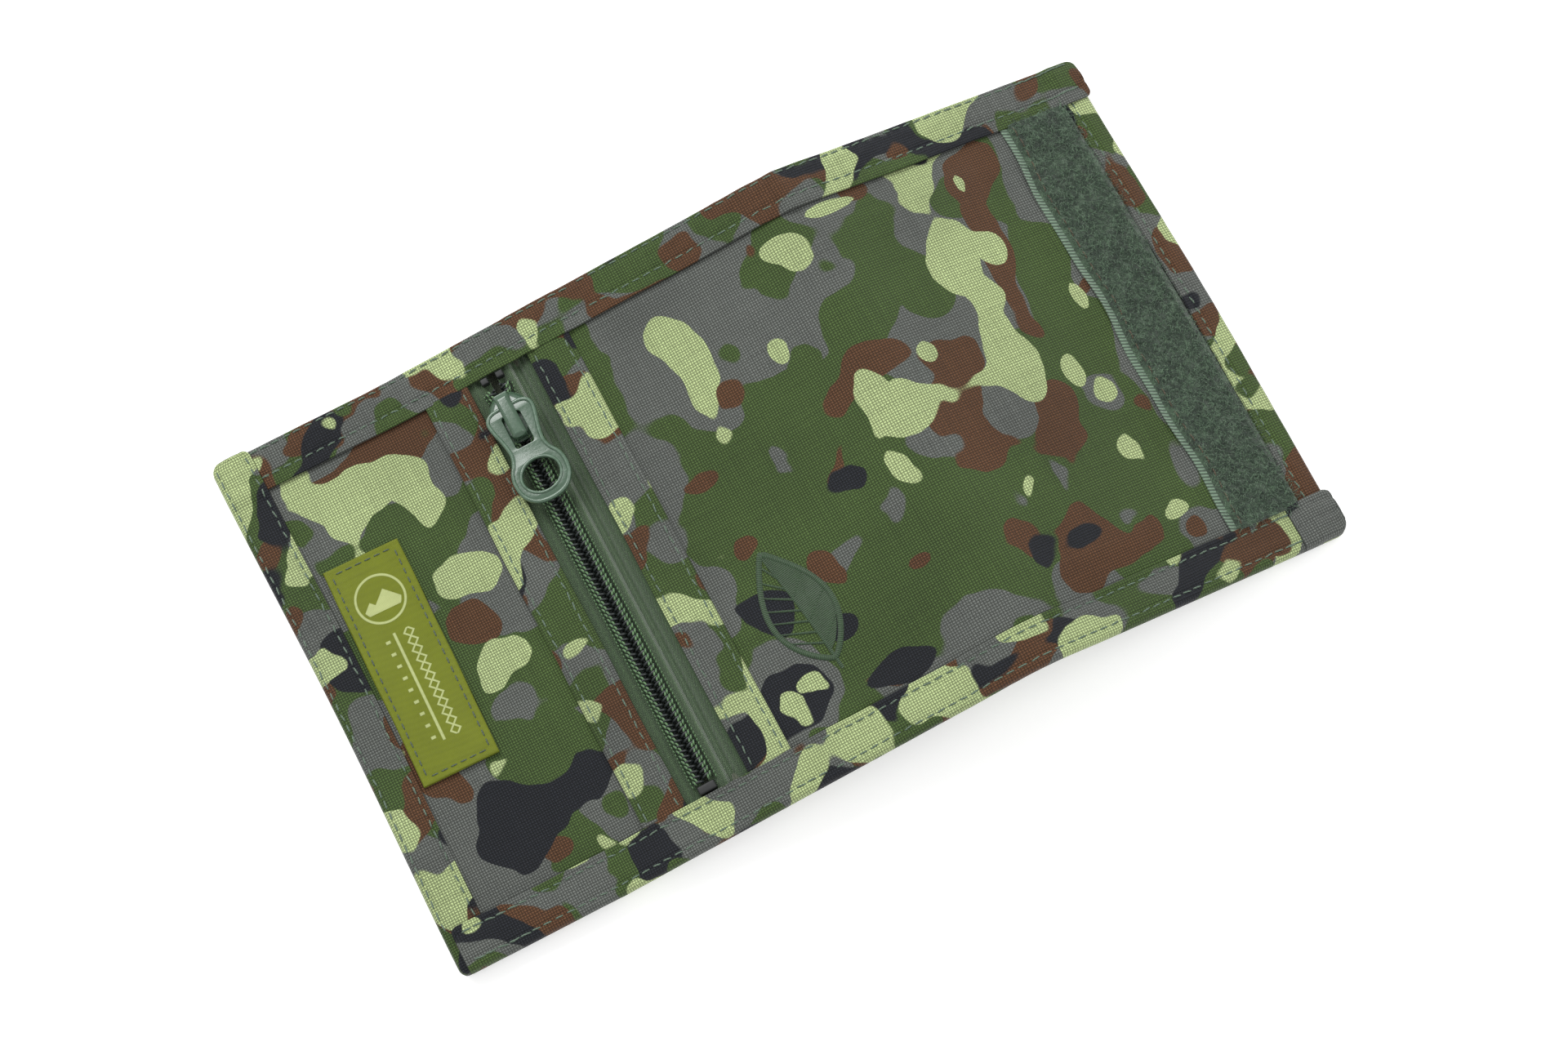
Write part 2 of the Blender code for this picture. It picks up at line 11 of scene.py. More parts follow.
import bmesh
import bpy
import numpy as np
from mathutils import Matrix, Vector


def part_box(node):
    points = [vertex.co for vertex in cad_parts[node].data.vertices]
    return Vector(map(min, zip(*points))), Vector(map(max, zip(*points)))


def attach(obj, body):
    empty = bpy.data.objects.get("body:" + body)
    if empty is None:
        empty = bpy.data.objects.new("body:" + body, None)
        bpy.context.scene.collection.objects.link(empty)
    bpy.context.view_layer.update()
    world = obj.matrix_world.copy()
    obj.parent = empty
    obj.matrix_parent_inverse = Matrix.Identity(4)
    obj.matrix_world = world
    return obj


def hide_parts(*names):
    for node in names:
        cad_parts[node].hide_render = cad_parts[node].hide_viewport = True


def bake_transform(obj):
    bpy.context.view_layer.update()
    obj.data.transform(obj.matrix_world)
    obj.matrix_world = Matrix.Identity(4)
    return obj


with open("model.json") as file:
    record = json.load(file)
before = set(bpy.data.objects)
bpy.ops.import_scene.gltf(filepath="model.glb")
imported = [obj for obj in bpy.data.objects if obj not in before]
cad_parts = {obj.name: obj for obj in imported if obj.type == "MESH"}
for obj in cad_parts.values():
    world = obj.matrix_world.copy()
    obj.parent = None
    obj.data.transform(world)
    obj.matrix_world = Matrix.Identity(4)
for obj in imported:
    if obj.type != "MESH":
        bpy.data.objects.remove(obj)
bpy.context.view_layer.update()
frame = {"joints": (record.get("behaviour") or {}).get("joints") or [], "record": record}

MM = 0.001
JOINTS = {joint["name"]: joint for joint in frame["joints"]}
MOUNTS = {mount["name"]: mount for mount in frame["record"]["mounts"]}


def in_mm(point):
    """A point given in metres, in millimetres."""
    return np.array(point, float) / MM


# Panels, in millimetres, from the frame
FIRST_FOLD = in_mm(JOINTS["flap_fold"]["pos_m"])
SECOND_FOLD = in_mm(JOINTS["front_fold"]["pos_m"])
BACK_SLOPE = math.asin(-JOINTS["puller_flip"]["axis"][2])
FLAP_SLOPE = math.asin(MOUNTS["hook_face"]["axis"][0])
FRONT_SLOPE = -math.asin(MOUNTS["loop_face"]["axis"][0])
FLAP_LENGTH = 41.0
BACK_LENGTH = 101.0
FRONT_LENGTH = 80.0
FOLD_1 = FLAP_LENGTH
FOLD_2 = FLAP_LENGTH + BACK_LENGTH
LENGTH = FLAP_LENGTH + BACK_LENGTH + FRONT_LENGTH
EDGE = in_mm(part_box("binding_left")[1])[1]
DEPTH_1 = 8.05
DEPTH_2 = 4.7
REST_BEND_1 = 11.0
REST_BEND_2 = 15.0

# Cloth
CLOTH = 0.6
BINDING_TOP = 10.6
BINDING_LEFT = 9.5
BINDING_RIGHT = 6.8
UNDERSIDE = -1.7
SEAM_ALLOWANCE = 1.6
PLACKET_LEFT = (FOLD_1 + 8.7, FOLD_1 + 19.3)
PLACKET_RIGHT = (FOLD_1 + 34.6, FOLD_1 + 45.2)
ZIP = FOLD_1 + 25.2

# Colours as the print and the threads look under white light, in sRGB
LIGHT_GREEN = (0.615, 0.672, 0.475)
MID_GREEN = (0.240, 0.312, 0.155)
GREY = (0.345, 0.358, 0.342)
BROWN = (0.318, 0.214, 0.135)
NAVY_BLACK = (0.10, 0.11, 0.13)
THREAD = (0.31, 0.385, 0.32)


def linear(colour):
    """An sRGB colour as linear RGBA."""
    def channel(value):
        return value / 12.92 if value <= 0.04045 else ((value + 0.055) / 1.055) ** 2.4
    return (*(channel(value) for value in colour), 1.0)


# ---------------------------------------------------------------- the surface


def smooth(value):
    """An eased step from 0 to 1."""
    t = np.clip(value, 0.0, 1.0)
    return t * t * (3.0 - 2.0 * t)


def bump(value, centre, width):
    """A smooth hump of height 1 around centre."""
    return np.exp(-(((value - centre) / width) ** 2))


def waves(u, y, seed, lengths=(14.0, 45.0), count=7):
    """A smooth random field of about -1 to 1, made of a few plane waves."""
    rng = np.random.RandomState(seed)
    total = np.zeros(np.broadcast(u, y).shape)
    for _ in range(count):
        length = rng.uniform(*lengths)
        angle = rng.uniform(0.0, math.pi)
        phase = rng.uniform(0.0, 2.0 * math.pi)
        across = u * math.cos(angle) + y * math.sin(angle)
        total = total + np.sin(2.0 * math.pi * across / length + phase)
    return total / count * 1.6


def surface(u, y, n):
    """Points of the row frame, in millimetres, of the surface's u, y and n."""
    u, y, n = np.broadcast_arrays(np.asarray(u, float), np.asarray(y, float), np.asarray(n, float))
    at_first = u < (FOLD_1 + FOLD_2) / 2
    turn_1 = smooth((u - FOLD_1 + REST_BEND_1) / (2 * REST_BEND_1))
    turn_2 = smooth((u - FOLD_2 + REST_BEND_2) / (2 * REST_BEND_2))
    slope_1 = FLAP_SLOPE + (BACK_SLOPE - FLAP_SLOPE) * turn_1
    slope_2 = BACK_SLOPE + (FRONT_SLOPE - BACK_SLOPE) * turn_2
    slope = np.where(at_first, slope_1, slope_2)
    along = np.where(at_first, u - FOLD_1, u - FOLD_2)
    height = n + np.where(at_first, DEPTH_1, DEPTH_2)
    pivot_x = np.where(at_first, FIRST_FOLD[0], SECOND_FOLD[0])
    pivot_z = np.where(at_first, FIRST_FOLD[2], SECOND_FOLD[2])
    x = pivot_x + along * np.cos(slope) - height * np.sin(slope)
    z = pivot_z + along * np.sin(slope) + height * np.cos(slope)
    return np.stack([x, y, z], -1)


def sag(u, y):
    """How far the soft cloth stands off its even surface: slack between seams, and fold creases."""
    inside = smooth((EDGE - BINDING_TOP - np.abs(y)) / 9.0)
    main = smooth((u - PLACKET_RIGHT[1]) / 12.0) * smooth((LENGTH - 26.0 - u) / 14.0)
    flap = smooth((u - BINDING_LEFT) / 10.0) * smooth((PLACKET_LEFT[0] - u) / 8.0)
    slack = 0.55 * waves(u, y, 4, (30.0, 80.0)) * (main + 0.5 * flap)
    hollow = -1.1 * bump(u, FOLD_1 + 62.0, 16.0) * main
    crown = 0.9 * bump(u, FOLD_2 + 34.0, 20.0) * main
    creases = fold_creases(u, y)
    return (slack + hollow + crown) * inside + creases


def fold_creases(u, y):
    """Short upright creases that start at the bindings where the wallet folds."""
    total = np.zeros(np.broadcast(u, y).shape)
    rng = np.random.RandomState(11)
    for fold, spread, count in ((FOLD_1 + 1.0, 9.0, 7), (FOLD_2 - 5.0, 13.0, 8)):
        for _ in range(count):
            place = fold + rng.uniform(-spread, spread)
            side = rng.choice((-1.0, 1.0))
            reach = rng.uniform(8.0, 24.0)
            lean = rng.uniform(-0.08, 0.08)
            width = rng.uniform(0.7, 1.5)
            depth = rng.uniform(-0.20, 0.14)
            fade = smooth(1.0 - (EDGE - side * y) / (BINDING_TOP + reach))
            total = total + depth * fade * bump(u - lean * y, place, width)
    return total


# ---------------------------------------------------------------- meshes


def shown(name, mesh, smooth_angle):
    """Puts a mesh in the scene, smooth but for the edges sharper than this angle in degrees."""
    mesh.shade_smooth()
    mesh.set_sharp_from_angle(angle=math.radians(smooth_angle))
    piece = bpy.data.objects.new(name, mesh)
    bpy.context.scene.collection.objects.link(piece)
    return piece


def mesh_object(name, points, faces, uvs, smooth_angle=50.0):
    """A piece from points in millimetres and faces, with a UV in metres for every point."""
    mesh = bpy.data.meshes.new(name)
    mesh.from_pydata((np.asarray(points) * MM).tolist(), [], faces)
    layer = mesh.uv_layers.new(name="cloth")
    corner_points = np.empty(len(mesh.loops), np.int64)
    mesh.loops.foreach_get("vertex_index", corner_points)
    layer.data.foreach_set("uv", (np.asarray(uvs)[corner_points] * MM).ravel())
    mesh.validate()
    work = bmesh.new()
    work.from_mesh(mesh)
    bmesh.ops.recalc_face_normals(work, faces=work.faces[:])
    work.to_mesh(mesh)
    work.free()
    return shown(name, mesh, smooth_angle)


def grid_faces(rows, columns, start=0, flip=False):
    """The quads of a grid of points."""
    faces = []
    for i in range(rows - 1):
        for j in range(columns - 1):
            a = start + i * columns + j
            face = (a, a + columns, a + columns + 1, a + 1)
            faces.append(face[::-1] if flip else face)
    return faces


def two_sided(name, above, below, flat):
    """A closed piece between two grids of points, which share their UVs."""
    rows, columns = above.shape[:2]
    count = rows * columns
    faces = grid_faces(rows, columns) + grid_faces(rows, columns, count, True)
    ring = [i * columns for i in range(rows)]
    ring += [(rows - 1) * columns + j for j in range(1, columns)]
    ring += [i * columns + columns - 1 for i in range(rows - 2, -1, -1)]
    ring += [j for j in range(columns - 2, 0, -1)]
    for a, b in zip(ring, ring[1:] + ring[:1]):
        faces.append((a, b, b + count, a + count))
    points = np.concatenate([above.reshape(-1, 3), below.reshape(-1, 3)])
    return mesh_object(name, points, faces, np.tile(flat.reshape(-1, 2), (2, 1)))


def cloth_sheet(name, us, ys, top, thickness, uv_shift=(0.0, 0.0), warp=None):
    """A closed thin sheet on the surface. top is a height or a function of u and y."""
    u, y = np.meshgrid(us, ys, indexing="ij")
    if warp is not None:
        u, y = warp(u, y)
    upper = top(u, y) if callable(top) else np.full(u.shape, float(top))
    flat = np.stack([u + uv_shift[0], y + uv_shift[1]], -1)
    return two_sided(name, surface(u, y, upper), surface(u, y, upper - thickness), flat)


def loft(name, sections, uvs, caps=True, smooth_angle=50.0):
    """A closed skin through sections, an array of (section, point around, xyz) in millimetres."""
    count, around = sections.shape[:2]
    faces = []
    for i in range(count - 1):
        for j in range(around):
            k = (j + 1) % around
            a, b = i * around, (i + 1) * around
            faces.append((a + j, b + j, b + k, a + k))
    if caps:
        faces.append(tuple(range(around)))
        faces.append(tuple(range((count - 1) * around, count * around))[::-1])
    return mesh_object(name, sections.reshape(-1, 3), faces, uvs.reshape(-1, 2), smooth_angle)


def steps(low, high, size):
    """Even stations from low to high, about this size apart."""
    return np.linspace(low, high, max(2, int(round(abs(high - low) / size)) + 1))


# ---------------------------------------------------------------- materials


class Nodes:
    """A small helper to build a material's node tree."""

    def __init__(self, name):
        self.material = bpy.data.materials.new(name)
        self.material.use_nodes = True
        self.tree = self.material.node_tree
        self.shader = self.tree.nodes["Principled BSDF"]

    def add(self, kind, settings=None, **inputs):
        node = self.tree.nodes.new(kind)
        for key, value in (settings or {}).items():
            setattr(node, key, value)
        for key, value in inputs.items():
            self.put(node.inputs[key.replace("_", " ")], value)
        return node

    def put(self, socket, value):
        if isinstance(value, bpy.types.NodeSocket):
            self.tree.links.new(value, socket)
        else:
            socket.default_value = value

    def math(self, operation, a, b=0.0, c=0.0):
        node = self.tree.nodes.new("ShaderNodeMath")
        node.operation = operation
        for socket, value in zip(node.inputs, (a, b, c)):
            self.put(socket, value)
        return node.outputs[0]

    def times(self, a, b):
        return self.math("MULTIPLY", a, b)

    def scaled(self, value, factor, shift):
        return self.math("MULTIPLY_ADD", value, factor, shift)

    def plus(self, a, b):
        return self.math("ADD", a, b)

    def minus(self, a, b):
        return self.math("SUBTRACT", a, b)

    def size(self, value):
        return self.math("ABSOLUTE", value)

    def sine(self, value):
        return self.math("SINE", value)

    def vector_math(self, operation, *values):
        node = self.tree.nodes.new("ShaderNodeVectorMath")
        node.operation = operation
        for socket, value in zip(node.inputs, values):
            self.put(socket, value)
        return node.outputs[0]

    def mix(self, factor, a, b, blend="MIX"):
        node = self.tree.nodes.new("ShaderNodeMix")
        node.data_type = "RGBA"
        node.blend_type = blend
        self.put(node.inputs[0], factor)
        self.put(node.inputs[6], a)
        self.put(node.inputs[7], b)
        return node.outputs[2]

    def tint(self, colour, light):
        """A colour made lighter or darker by light."""
        return self.mix(1.0, colour, light, "MULTIPLY")

    def remap(self, value, low, high, to_low=0.0, to_high=1.0):
        node = self.tree.nodes.new("ShaderNodeMapRange")
        node.interpolation_type = "SMOOTHSTEP"
        for index, item in enumerate((value, low, high, to_low, to_high)):
            self.put(node.inputs[index], item)
        return node.outputs[0]

    def noise(self, vector, scale, detail=2.0, roughness=0.5, distortion=0.0):
        node = self.add(
            "ShaderNodeTexNoise", Vector=vector, Scale=scale, Detail=detail, Roughness=roughness,
            Distortion=distortion,
        )
        return node.outputs["Fac"]

    def uv(self):
        return self.add("ShaderNodeUVMap", {"uv_map": "cloth"}).outputs[0]

    def position(self):
        return self.add("ShaderNodeNewGeometry").outputs["Position"]

    def split(self, vector):
        node = self.tree.nodes.new("ShaderNodeSeparateXYZ")
        self.put(node.inputs[0], vector)
        return node.outputs

    def bump(self, height, distance):
        return self.add("ShaderNodeBump", Height=height, Distance=distance, Strength=1.0).outputs[0]

    def finish(self, colour, roughness, normal=None, **constants):
        self.put(self.shader.inputs["Base Color"], colour)
        self.put(self.shader.inputs["Roughness"], roughness)
        if normal is not None:
            self.put(self.shader.inputs["Normal"], normal)
        for key, value in constants.items():
            self.shader.inputs[key.replace("_", " ")].default_value = value
        return self.material


def weave(nodes, vector, pitch):
    """A plain weave: how high the yarn stands, and which of the two yarns is on top, as 0 or 1."""
    x, y, _ = nodes.split(vector)
    wobble = nodes.noise(vector, 700.0, 1.0)
    rate = math.pi / (pitch * MM)
    across = nodes.sine(nodes.scaled(x, rate, wobble))
    along = nodes.sine(nodes.scaled(y, rate, wobble))
    over = nodes.math("GREATER_THAN", nodes.times(across, along), 0.0)
    across = nodes.size(across)
    along = nodes.size(along)

    def crossed(a, b):
        return nodes.times(nodes.math("POWER", across, a), nodes.math("POWER", along, b))

    upright, level = crossed(0.4, 0.9), crossed(0.9, 0.4)
    height = nodes.scaled(over, nodes.minus(upright, level), level)
    return height, over


def yarn_tone(nodes, vector, over):
    """Each yarn is a little lighter or darker than the next, along its whole length."""
    tones = []
    for scale in ((1900.0, 60.0, 0.0), (60.0, 1900.0, 0.0)):
        tones.append(nodes.noise(nodes.vector_math("MULTIPLY", vector, scale), 1.0, 1.0))
    upright, level = tones
    return nodes.scaled(over, nodes.minus(upright, level), level)


WEAVE_PITCH = 0.62
RAGGED_EDGE = (0.0055, 0.0055, 0.0)
GATHERING = 0.42
PRINT_EDGE = 0.007


def spots(nodes, vector, scale, low, high, size):
    """Round spots in the cells whose random number lies between low and high."""
    cells = nodes.add("ShaderNodeTexVoronoi", Vector=vector, Scale=scale, Randomness=0.8)
    pick = nodes.split(cells.outputs["Color"])[0]
    above, below = nodes.math("GREATER_THAN", pick, low), nodes.math("LESS_THAN", pick, high)
    disc = nodes.remap(cells.outputs["Distance"], size + 0.012, size - 0.012)
    return nodes.times(nodes.times(above, below), disc)


def camouflage(name):
    """Printed five-colour camouflage on a plain-woven cloth."""
    nodes = Nodes(name)
    uv = nodes.uv()
    ragged = nodes.add("ShaderNodeTexNoise", Vector=uv, Scale=120.0, Detail=1.0)
    place = nodes.vector_math("MULTIPLY_ADD", ragged.outputs["Color"], RAGGED_EDGE, uv)
    tones = nodes.add("ShaderNodeAttribute", {"attribute_name": "print_tones"})
    tone = nodes.tree.nodes.new("ShaderNodeSeparateColor")
    nodes.put(tone.inputs[0], tones.outputs["Color"])
    layers = (
        (MID_GREEN, 58.0, (0.11, 0.03, 0.0), 0.475, tones.outputs["Alpha"]),
        (BROWN, 70.0, (0.52, 0.21, 0.3), 0.585, tone.outputs[1]),
        (NAVY_BLACK, 64.0, (0.31, 0.67, 0.6), 0.615, tone.outputs[2]),
        (LIGHT_GREEN, 72.0, (0.83, 0.42, 0.9), 0.595, tone.outputs[0]),
    )
    colour = linear(GREY)
    for shade, scale, offset, level, bias in layers:
        field = nodes.noise(nodes.vector_math("ADD", place, offset), scale, 0.6, 0.4)
        field = nodes.scaled(bias, GATHERING, field)
        mask = nodes.remap(field, level - PRINT_EDGE, level + PRINT_EDGE)
        colour = nodes.mix(mask, colour, linear(shade))
    for shade, scale, low, high, size in (
        (MID_GREEN, 62.0, 0.00, 0.22, 0.30), (BROWN, 55.0, 0.30, 0.40, 0.24),
        (LIGHT_GREEN, 66.0, 0.60, 0.74, 0.20), (NAVY_BLACK, 60.0, 0.80, 0.86, 0.22),
    ):
        colour = nodes.mix(spots(nodes, place, scale, low, high, size), colour, linear(shade))
    height, over = weave(nodes, uv, WEAVE_PITCH)
    # Painted glints: small lighter and darker specks on the yarns; the same noise also varies the
    # roughness.
    yarn_glints = nodes.noise(uv, 2400.0, 2.0, 0.7)
    # Painted light and shade: the yarn tops lighter and the gaps between the yarns darker.
    light = nodes.scaled(height, 0.95, 0.30)
    light = nodes.scaled(over, 0.10, light)
    light = nodes.times(light, nodes.scaled(yarn_glints, 0.55, 0.72))
    light = nodes.times(light, nodes.scaled(yarn_tone(nodes, uv, over), 0.7, 0.65))
    # Painted uneven light: broad random patches that make the cloth lighter or darker.
    painted_light = nodes.noise(uv, 28.0, 3.0)
    light = nodes.times(light, nodes.scaled(painted_light, 0.6, 0.72))
    normal = nodes.bump(height, 0.00020)
    rough = nodes.scaled(yarn_glints, 0.25, 0.50)
    return nodes.finish(
        nodes.tint(colour, light), rough, normal, Sheen_Weight=0.05, Sheen_Roughness=0.5,
        Specular_IOR_Level=0.20,
    )


def thread_material(name, colour, roughness=0.55):
    """Twisted sewing thread."""
    nodes = Nodes(name)
    uv = nodes.uv()
    x, y, _ = nodes.split(uv)
    twist = nodes.sine(nodes.scaled(x, 9000.0, nodes.times(y, 5000.0)))
    ply = nodes.scaled(twist, 0.5, 0.5)
    patchy = nodes.noise(nodes.position(), 300.0, 2.0)
    # Painted shade: the thread darker in the grooves between its plies and lighter on them; patchy
    # is random tone.
    light = nodes.scaled(ply, 0.5, nodes.scaled(patchy, 0.6, 0.4))
    shaded = nodes.tint(linear(colour), light)
    return nodes.finish(shaded, roughness, nodes.bump(ply, 0.00008), Sheen_Weight=0.2)


CAMOUFLAGE = camouflage("camouflage_cloth")
THREAD_FINISH = thread_material("sewing_thread", THREAD)


def dress(piece, material):
    """One material for the piece."""
    piece.data.materials.clear()
    piece.data.materials.append(material)


FLAP_BLEND = ("closure_flap", "back_panel")
FRONT_BLEND = ("back_panel", "front_panel")


def across_fold(piece):
    """Bakes the piece's placement into its mesh; it is not bent and rides on no body."""
    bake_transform(piece)


def place(piece, where):
    """Rides a piece on one body; for a pair of bodies, only bakes its placement."""
    if isinstance(where, tuple):
        across_fold(piece)
    else:
        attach(piece, where)


def settle(piece, material, where, nodes=()):
    """Gives a piece its material, hides the CAD nodes it stands for, and places it by what it rides
    on.
    """
    dress(piece, material)
    if nodes:
        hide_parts(*nodes)
    place(piece, where)
    return piece


# ---------------------------------------------------------------- outer cloth


HIDDEN_EDGE = 1.2
UNDER_PLACKET = 0.6
OUTER_THICKNESS = 0.5


def cloth_top(u, y):
    """Height of the outer cloth, pressed down along the bindings."""
    pressed = -0.12 * bump(np.abs(y), EDGE - BINDING_TOP + 1.0, 1.5)
    return CLOTH + sag(u, y) + pressed


# Where each colour of the print gathers on the outer cloth: u, y, and half sizes
LIGHT_PLACES = (
    (106, 37, 5, 10), (129, 44, 4, 7), (136, 48, 6, 4), (126, 26, 3, 4), (152, 52, 12, 2),
    (165, 46, 8, 8), (169, 30, 5, 11), (171, 12, 5, 11), (172, -5, 4, 8), (138, 11, 4, 8),
    (143, 0, 4, 7), (137, -13, 5, 6), (153, 12, 3, 3), (181, 45, 2, 4), (180, 28, 3, 4),
    (182, -8, 3, 4), (193, 10, 2, 5), (186, -45, 5, 3), (22, 44, 14, 6), (38, 38, 5, 8),
    (36, 14, 11, 6), (44, -9, 9, 6),
)
BROWN_PLACES = (
    (37, 49, 9, 6), (184, 48, 9, 6), (180, 24, 4, 14), (142, 16, 8, 5), (154, -4, 8, 13),
    (176, -13, 6, 7), (162, -44, 12, 8), (190, -50, 4, 4), (112, -19, 4, 4), (130, -31, 3, 2),
    (14, -22, 7, 9), (20, 50, 12, 3), (36, 4, 6, 4),
)
DARK_PLACES = (
    (27, -38, 13, 10), (36, -26, 5, 6), (98, -28, 5, 6), (96, -45, 9, 10), (114, -50, 14, 4),
    (108, -36, 4, 4),
)
GREEN_PLACES = (
    (26, 28, 14, 6), (22, 2, 12, 12), (42, -30, 8, 12), (100, 8, 12, 8), (124, 10, 9, 12),
    (108, -12, 14, 12), (118, -32, 16, 12), (142, -30, 20, 14), (144, 25, 7, 7),
    (160, 26, 5, 7), (188, 30, 5, 15), (182, 1, 11, 7), (180, -34, 12, 16),
)
COLOUR_PLACES = (LIGHT_PLACES, BROWN_PLACES, DARK_PLACES, GREEN_PLACES)
EVEN_SHARE = 0.34

# The same four tones, even over the narrow strips and over the wrapped end
STRIP_TONES = (0.0, 0.05, -0.04, -0.06)
WRAP_TONES = (-0.4,) * 4


def gathered(u, y, places):
    """1 inside these places, 0 away from them, less an even share that keeps the print's mix."""
    total = np.zeros(u.shape)
    for centre_u, centre_y, half_u, half_y in places:
        reach = ((u - centre_u) / half_u) ** 2 + ((y - centre_y) / half_y) ** 2
        total = np.maximum(total, np.exp(-0.7 * reach))
    return total - EVEN_SHARE


def print_tones(piece, even=None):
    """Tells the print, at every point, how much of each colour gathers there."""
    flat = np.empty(len(piece.data.loops) * 2)
    piece.data.uv_layers["cloth"].data.foreach_get("uv", flat)
    corners = np.empty(len(piece.data.loops), np.int64)
    piece.data.loops.foreach_get("vertex_index", corners)
    points = np.zeros((len(piece.data.vertices), 2))
    points[corners] = flat.reshape(-1, 2) / MM
    u, y = points[:, 0], points[:, 1]
    if even is None:
        tones = [gathered(u, y, places) for places in COLOUR_PLACES]
    else:
        tones = [np.full(u.shape, share) for share in even]
    layer = piece.data.attributes.new("print_tones", "FLOAT_COLOR", "POINT")
    layer.data.foreach_set("color", np.stack(tones, -1).astype(np.float32).ravel())


def fold_steps(low, high, fold, size=1.0, fine=0.5, reach=12.0):
    """Stations that stand closer where the cloth bends."""
    parts = []
    if low < fold - reach:
        parts.append(steps(low, fold - reach, size)[:-1])
    parts.append(steps(max(low, fold - reach), min(high, fold + reach), fine))
    if high > fold + reach:
        parts.append(steps(fold + reach, high, size)[1:])
    return np.concatenate(parts)


def make_outer_cloth():
    """The printed cloth on each side of the zip's opening."""
    half = EDGE - HIDDEN_EDGE
    ys = steps(-half, half, 1.0)
    left_low, left_high = HIDDEN_EDGE, PLACKET_LEFT[1] - UNDER_PLACKET
    right_low, right_high = PLACKET_RIGHT[0] + UNDER_PLACKET, LENGTH - HIDDEN_EDGE
    left_us = fold_steps(left_low, left_high, FOLD_1)
    right_us = fold_steps(right_low, right_high, FOLD_2)
    left = cloth_sheet("outer_cloth_left", left_us, ys, cloth_top, OUTER_THICKNESS)
    right = cloth_sheet("outer_cloth_right", right_us, ys, cloth_top, OUTER_THICKNESS)
    for piece, bodies, nodes in (
        (left, FLAP_BLEND, ("flap_cloth", "back_cloth_left")),
        (right, FRONT_BLEND, ("back_cloth_main", "front_cloth")),
    ):
        print_tones(piece)
        settle(piece, CAMOUFLAGE, bodies, nodes)


make_outer_cloth()


def arc_length(points, axis):
    """Distance along rows of points."""
    step = np.linalg.norm(np.diff(points, axis=axis), axis=-1)
    start = np.zeros_like(np.take(step, [0], axis=axis))
    return np.concatenate([start, np.cumsum(step, axis=axis)], axis=axis)


def unit(vectors):
    """The same directions with length 1."""
    return vectors / np.maximum(np.linalg.norm(vectors, axis=-1, keepdims=True), 1e-9)


def tubes(name, lines, radius, sides=6, reference=(0.0, 0.0, 1.0)):
    """Many round threads in one piece. lines is (thread, point, xyz) in millimetres."""
    lines = np.asarray(lines, float)
    count, points = lines.shape[:2]
    tangent = unit(np.gradient(lines, axis=1))
    side = unit(np.cross(tangent, np.asarray(reference, float)))
    up = np.cross(side, tangent)
    angle = 2.0 * math.pi * np.arange(sides) / sides
    ring = side[:, :, None] * np.cos(angle)[:, None] + up[:, :, None] * np.sin(angle)[:, None]
    radius = np.broadcast_to(np.asarray(radius, float), (count, points))
    skin = lines[:, :, None] + ring * radius[:, :, None, None]
    arc = np.broadcast_to(arc_length(lines, 1)[:, :, None], skin.shape[:3])
    around = np.broadcast_to(angle * float(radius.max()), skin.shape[:3])
    starts = np.arange(count)[:, None, None] * points
    first = (starts + np.arange(points - 1)[None, :, None]) * sides
    j = np.arange(sides)[None, None, :]
    k = (j + 1) % sides
    corners = [first + j, first + sides + j, first + sides + k, first + k]
    quads = np.stack(corners, -1).reshape(-1, 4)
    ends = []
    for thread in range(count):
        base = thread * points * sides
        ends.append(tuple(range(base, base + sides)))
        ends.append(tuple(range(base + (points - 1) * sides, base + points * sides))[::-1])
    uvs = np.stack([arc, around], -1).reshape(-1, 2)
    return mesh_object(name, skin.reshape(-1, 3), quads.tolist() + ends, uvs, 80.0)


# ---------------------------------------------------------------- stitching

STITCH_PITCH = 2.75
STITCH_LENGTH = 2.35
STITCH_RADIUS = 0.19
STITCH_SHAPE = np.linspace(-1.0, 1.0, 7)
STITCH_TAPER = np.array([0.55, 0.9, 1.0, 1.0, 1.0, 0.9, 0.55])


def stitch_marks(length, seed, pitch=STITCH_PITCH):
    """A row of stitches: places along it, how far aside each point lies, and its lift."""
    rng = np.random.RandomState(seed)
    count = int(length / pitch)
    start = (length - (count - 1) * pitch) / 2
    middle = start + pitch * np.arange(count) + rng.uniform(-0.12, 0.12, count)
    reach = (STITCH_LENGTH * rng.uniform(0.44, 0.52, count))[:, None] * STITCH_SHAPE
    turn = rng.uniform(-0.16, 0.16, count)[:, None]
    lift = 0.16 - 0.42 * np.abs(STITCH_SHAPE) ** 3.0 + rng.uniform(-0.03, 0.03, count)[:, None]
    return middle[:, None] + reach, reach * turn, lift


def even_stitches(start, end, seed, pitch):
    """A straight row of stitches between two points: its two coordinates and the lift."""
    rng = np.random.RandomState(seed)
    step, length = direction(start, end)
    count = int(length / pitch)
    middle = (length - (count - 1) * pitch) / 2 + pitch * np.arange(count)
    reach = pitch * rng.uniform(0.40, 0.46, count)
    s = middle[:, None] + reach[:, None] * STITCH_SHAPE
    lift = 0.14 - 0.40 * np.abs(STITCH_SHAPE) ** 3.0
    return start[0] + step[0] * s, start[1] + step[1] * s, np.broadcast_to(lift, s.shape)


def direction(start, end):
    """The unit step from one point to another, and the distance between them."""
    way = np.array(end, float) - np.array(start, float)
    length = float(np.linalg.norm(way))
    return way / length, length


def thread_piece(name, lines, where, radius=STITCH_RADIUS, material=None):
    """Stitches as one piece of thread, thinner where they enter the cloth."""
    piece = tubes(name, np.concatenate(lines), radius * STITCH_TAPER)
    return settle(piece, material or THREAD_FINISH, where)


